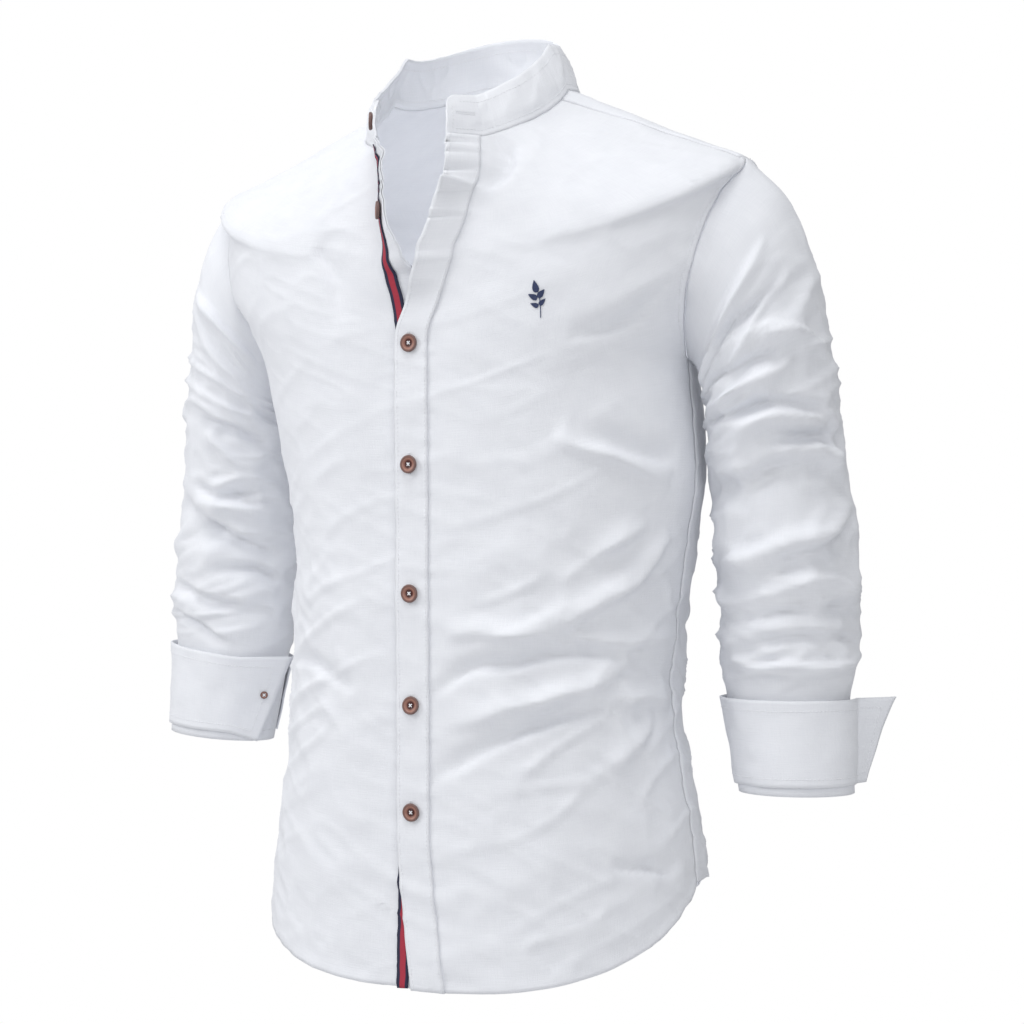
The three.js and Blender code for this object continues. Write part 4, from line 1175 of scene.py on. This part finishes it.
def turned_button(name, node, place, normal, radius):
    """A turned button with a raised rim, a dished face, four holes' dark middle and thread."""
    profile = (
        (0.0, 0.0), (0.86, 0.0), (0.96, 0.1), (1.0, 0.2), (0.98, 0.32), (0.9, 0.38), (0.8, 0.38),
        (0.7, 0.33), (0.64, 0.26), (0.58, 0.24), (0.5, 0.24), (0.45, 0.2), (0.4, 0.17), (0.0, 0.17),
    )
    steps = 40
    up = unit(np.asarray(normal, float))
    side = unit(np.cross(up, np.array([0, 0, 1.0])))
    ahead = np.cross(side, up)
    vertices = []
    for r, height in profile:
        for k in range(steps):
            angle = 2 * math.pi * k / steps
            flat = side * math.cos(angle) + ahead * math.sin(angle)
            vertices.append(place + radius * (max(r, 0.001) * flat + height * up))
    faces = []
    uvs = []
    for i in range(len(profile) - 1):
        for k in range(steps):
            corners = ((i, k), (i, k + 1), (i + 1, k + 1), (i + 1, k))
            faces.append([a * steps + b % steps for a, b in corners])
            uvs.append([(profile[a][0], b / steps) for a, b in corners])
    vertices = np.array(vertices)
    faces = np.array(faces)
    uvs = np.array(uvs)
    if not faces_out(vertices - place, faces):
        faces, uvs = faces[:, ::-1], uvs[:, ::-1]
    piece = mesh_object(name, vertices, faces, uvs, np.ones(len(faces), bool), BUTTON)
    plain_piece(piece, "button_wood", node)
    centre = place + up * (radius * 0.24)
    cross = []
    for turn in (0.25, 0.75):
        way = side * math.cos(math.pi * turn) + ahead * math.sin(math.pi * turn)
        for shift in (-0.3, 0, 0.3):
            over = np.cross(up, way) * shift
            ends = np.linspace(-1.7, 1.7, 9)
            arch = 0.35 * np.cos(np.linspace(-1, 1, 9) * math.pi / 2)
            cross.append((centre + over + way * ends[:, None] + up * arch[:, None], np.tile(up, (9, 1))))
    return cross


def thread_tubes(name, lines, radius=0.22, material=THREAD):
    """Round threads along short lines, as one piece."""
    vertices = []
    faces = []
    sides = 6
    for points, normals in lines:
        along = unit(np.gradient(points, axis=0))
        across = unit(np.cross(along, normals))
        up = np.cross(across, along)
        offset = sum(len(v) for v in vertices)
        angles = 2 * math.pi * np.arange(sides) / sides
        ringed = (points[:, None] + radius * (across[:, None] * np.cos(angles)[:, None]
                                              + up[:, None] * np.sin(angles)[:, None]))
        vertices.append(ringed.reshape(-1, 3))
        for i in range(len(points) - 1):
            for k in range(sides):
                n = (k + 1) % sides
                faces.append((offset + i * sides + k, offset + i * sides + n,
                              offset + (i + 1) * sides + n, offset + (i + 1) * sides + k))
    vertices = np.concatenate(vertices)
    faces = np.array(faces)
    uvs = vertices[faces][..., :2]
    piece = mesh_object(name, vertices, faces, uvs, np.ones(len(faces), bool), material)
    plain_piece(piece, "shirt_cloth")


def lay_on(panel, origin, turn, places, lift):
    """Flat places in millimetres laid on a panel near an origin, turned from the vertical, with
    the panel's normals."""
    points, normals = (grid.reshape(-1, 3) for grid in panel)
    nearest = int(np.argmin(((points - origin) ** 2).sum(1)))
    normal = normals[nearest]
    side = unit(np.cross(np.array([0, 0, 1.0]), normal))
    up = np.cross(normal, side)
    places = np.asarray(places, float)
    a = places[:, 0] * math.cos(turn) - places[:, 1] * math.sin(turn)
    b = places[:, 0] * math.sin(turn) + places[:, 1] * math.cos(turn)
    flat = points[nearest] + side * a[:, None] + up * b[:, None]
    close = np.argmin(((flat[:, None] - points[None]) ** 2).sum(-1), 1)
    off = ((flat - points[close]) * normals[close]).sum(-1, keepdims=True)
    return flat + normals[close] * (lift - off), normals[close]


SPRIG = {"place": (110, -105, -189), "turn": 0.15, "leaf": 9.5, "pitch": 0.55}
SPRIG_LEAVES = ((0, 10, 0.05, 1.0), (-1, 5, 0.95, 0.85), (1, 6, -0.85, 0.85), (-1, -1, 1.05, 0.7),
                (1, 0, -0.95, 0.7))


def make_sprig(panel):
    """A small embroidered sprig: a stem with five leaves, each in satin stitches."""
    origin = np.array(SPRIG["place"], float)
    lines = []
    stem = [(1.5 * math.sin(k / 5), k * 2.0 - 10) for k in range(11)]
    lines.append(lay_on(panel, origin, SPRIG["turn"], stem, 0.4))
    for x, y, angle, size in SPRIG_LEAVES:
        length = SPRIG["leaf"] * size
        for along in np.arange(0.5, length, SPRIG["pitch"]):
            half = 0.26 * length * math.sin(math.pi * (along / length) ** 0.8) + 0.15
            stitch = []
            for across in (-half, 0, half):
                b = along - abs(across) * 0.4
                stitch.append((x * 0.4 + across * math.cos(angle) - b * math.sin(angle),
                               y + across * math.sin(angle) + b * math.cos(angle)))
            lines.append(lay_on(panel, origin, SPRIG["turn"], stitch, 0.35))
    thread_tubes("sprig", lines, 0.36, NAVY_THREAD)


BUTTONHOLE = {"length": 17, "apart": 1.5, "pitch": 0.7}


def buttonhole(panel, place, turn, lift):
    """The short close stitches on both sides of a buttonhole, as lines."""
    half = BUTTONHOLE["length"] / 2
    lines = []
    for side in (-1, 1):
        for b in np.arange(-half, half, BUTTONHOLE["pitch"]):
            ends = [(side * 0.2, b), (side * BUTTONHOLE["apart"], b)]
            lines.append(lay_on(panel, place, turn, ends, lift))
    return lines


def row_at_height(z):
    marks = np.linspace(NECK, HEM, 2001)
    return float(np.interp(-z, -ring["z_front"](marks), marks))


def seat(surface, t, c, lift):
    points, normals = line_on(surface, np.array([t]), np.array([c]), 0.03, 0.05, lift)
    return points[0], normals[0]


def make_buttons(left_panel, collar, cuff_seats):
    threads = []
    holes = []
    points, normals, run = collar
    column = int(np.searchsorted(run, run[-1] - 16))
    row = 7
    place = points[row, column] + normals[row, column] * 0.5
    threads += turned_button("button_1_turned", "button_1", place, normals[row, column], BUTTON_RADIUS)
    place, normal = seat(front_right, row_at_height(NECK_BUTTON_Z), button_column(-1), TAPE_LIFT + 0.2)
    threads += turned_button("button_2_turned", "button_2", place, normal, BUTTON_RADIUS)
    for i, z in enumerate(PLACKET_BUTTON_Z):
        place, normal = seat(front_left, row_at_height(z), button_column(1), STRIP_LIFT + 0.2)
        node = f"button_{i + 3}"
        threads += turned_button(f"{node}_turned", node, place, normal, BUTTON_RADIUS)
        holes += buttonhole(left_panel, place - normal * STRIP_LIFT, 0, STRIP_LIFT + 0.1)
    left_end = int(np.searchsorted(run, 16))
    holes += buttonhole((points, normals), points[row, left_end], math.pi / 2, 0.1)
    thread_tubes("buttonholes", holes, 0.24)
    place, normal = cuff_seats["right"]
    threads += turned_button("cuff_button_right_turned", "cuff_button_right", place + normal * 0.2, normal,
                             CUFF_BUTTON_RADIUS)
    thread_tubes("button_threads", threads)


def make_seam_stitches():
    rows = []
    marks = np.interp(np.linspace(0.01, 0.99, 60) * armhole_reach[-1], armhole_reach, armhole_marks)
    for side in (1, -1):
        for on_front in (True, False):
            outer = outer_edge(marks, on_front)
            g = side * outer
            speed = np.linalg.norm(body_base(marks, g + 0.01) - body_base(marks, g - 0.01), axis=-1) / 0.02
            inset = (TOPSTITCH_BAND + 0.2) / speed * (-1 if on_front else 1)
            place = side * (outer + inset)
            rows.append(line_on(body, marks, place, 0.03, 0.02, 0.55))
    stitches("armhole_stitches", rows)


left_front, right_front = make_fronts()
back_panel = make_back()
collar = make_collar(left_front, back_panel, right_front)
cuff_seats = {}
for sleeve in (Sleeve("left"), Sleeve("right")):
    make_sleeve(sleeve)
    cuff_seats[sleeve.name] = make_cuff(sleeve)
make_buttons(left_front, collar, cuff_seats)
make_sprig(left_front)
make_seam_stitches()


# Camera, light and floor


def toward_camera(azimuth):
    return Vector((math.sin(azimuth), -math.cos(azimuth), 0))


def make_camera():
    data = bpy.data.cameras.new("camera")
    data.lens = CAMERA_LENS
    data.clip_end = 50
    camera = bpy.data.objects.new("camera", data)
    back_way = toward_camera(CAMERA_AZIMUTH)
    aside = Vector((math.cos(CAMERA_AZIMUTH), math.sin(CAMERA_AZIMUTH), 0))
    camera.location = (back_way * CAMERA_DISTANCE + aside * CAMERA_ASIDE
                       + Vector((0, 0, CAMERA_HEIGHT))) * MM
    camera.rotation_euler = (-back_way).to_track_quat("-Z", "Y").to_euler()
    bpy.context.scene.collection.objects.link(camera)
    bpy.context.scene.camera = camera


def area_light(name, place, target, size, energy):
    data = bpy.data.lights.new(name, "AREA")
    data.shape = "RECTANGLE"
    data.size, data.size_y = size
    data.energy = energy
    light = bpy.data.objects.new(name, data)
    light.location = place
    aim = Vector(target) - light.location
    light.rotation_euler = aim.to_track_quat("-Z", "Y").to_euler()
    bpy.context.scene.collection.objects.link(light)
    return light


def studio_light(name, azimuth, distance, height, size, energy):
    place = toward_camera(math.radians(azimuth)) * distance + Vector((0, 0, height))
    area_light(name, place, (0, 0, -0.35), size, energy)


def make_world():
    scene = bpy.context.scene
    scene.view_settings.view_transform = "Standard"
    world = bpy.data.worlds.new("studio")
    world.use_nodes = True
    tree = world.node_tree
    shade = tree.nodes["Background"]
    shade.inputs["Color"].default_value = (0.97, 0.98, 1, 1)
    shade.inputs["Strength"].default_value = 0.43
    clear = add_node(tree, "ShaderNodeBackground", {"Color": (1, 1, 1, 1), "Strength": 1.0})
    ray = add_node(tree, "ShaderNodeLightPath")
    blend = add_node(tree, "ShaderNodeMixShader", links={"Fac": ray.outputs["Is Camera Ray"]})
    tree.links.new(shade.outputs[0], blend.inputs[1])
    tree.links.new(clear.outputs[0], blend.inputs[2])
    tree.links.new(blend.outputs[0], tree.nodes["World Output"].inputs["Surface"])
    scene.world = world


FLOOR_HEIGHT = -1.45
FLOOR_RADIUS = 2.4


def make_floor():
    bpy.ops.mesh.primitive_circle_add(vertices=96, radius=FLOOR_RADIUS, fill_type="NGON",
                                      location=(0, 0, FLOOR_HEIGHT))
    floor = bpy.context.object
    floor.name = "floor"
    material, _, _ = new_material("floor", (0.9, 0.9, 0.91), 0.9)
    floor.data.materials.append(material)


make_camera()
make_world()
studio_light("key", -55, 2.6, 0.9, (1.2, 1.6), 32)
studio_light("fill", 34, 3.0, 0.4, (2.4, 2.0), 22)
studio_light("top", 15, 1.0, 2.2, (1.6, 1.2), 30)
# A faint light in the chest stands in for what thin cloth lets through to its inside
inner = area_light("inner", (0, -0.03, -0.3), (-0.03, 0.12, -0.06), (0.16, 0.16), 0.28)
inner.visible_camera = False
make_floor()
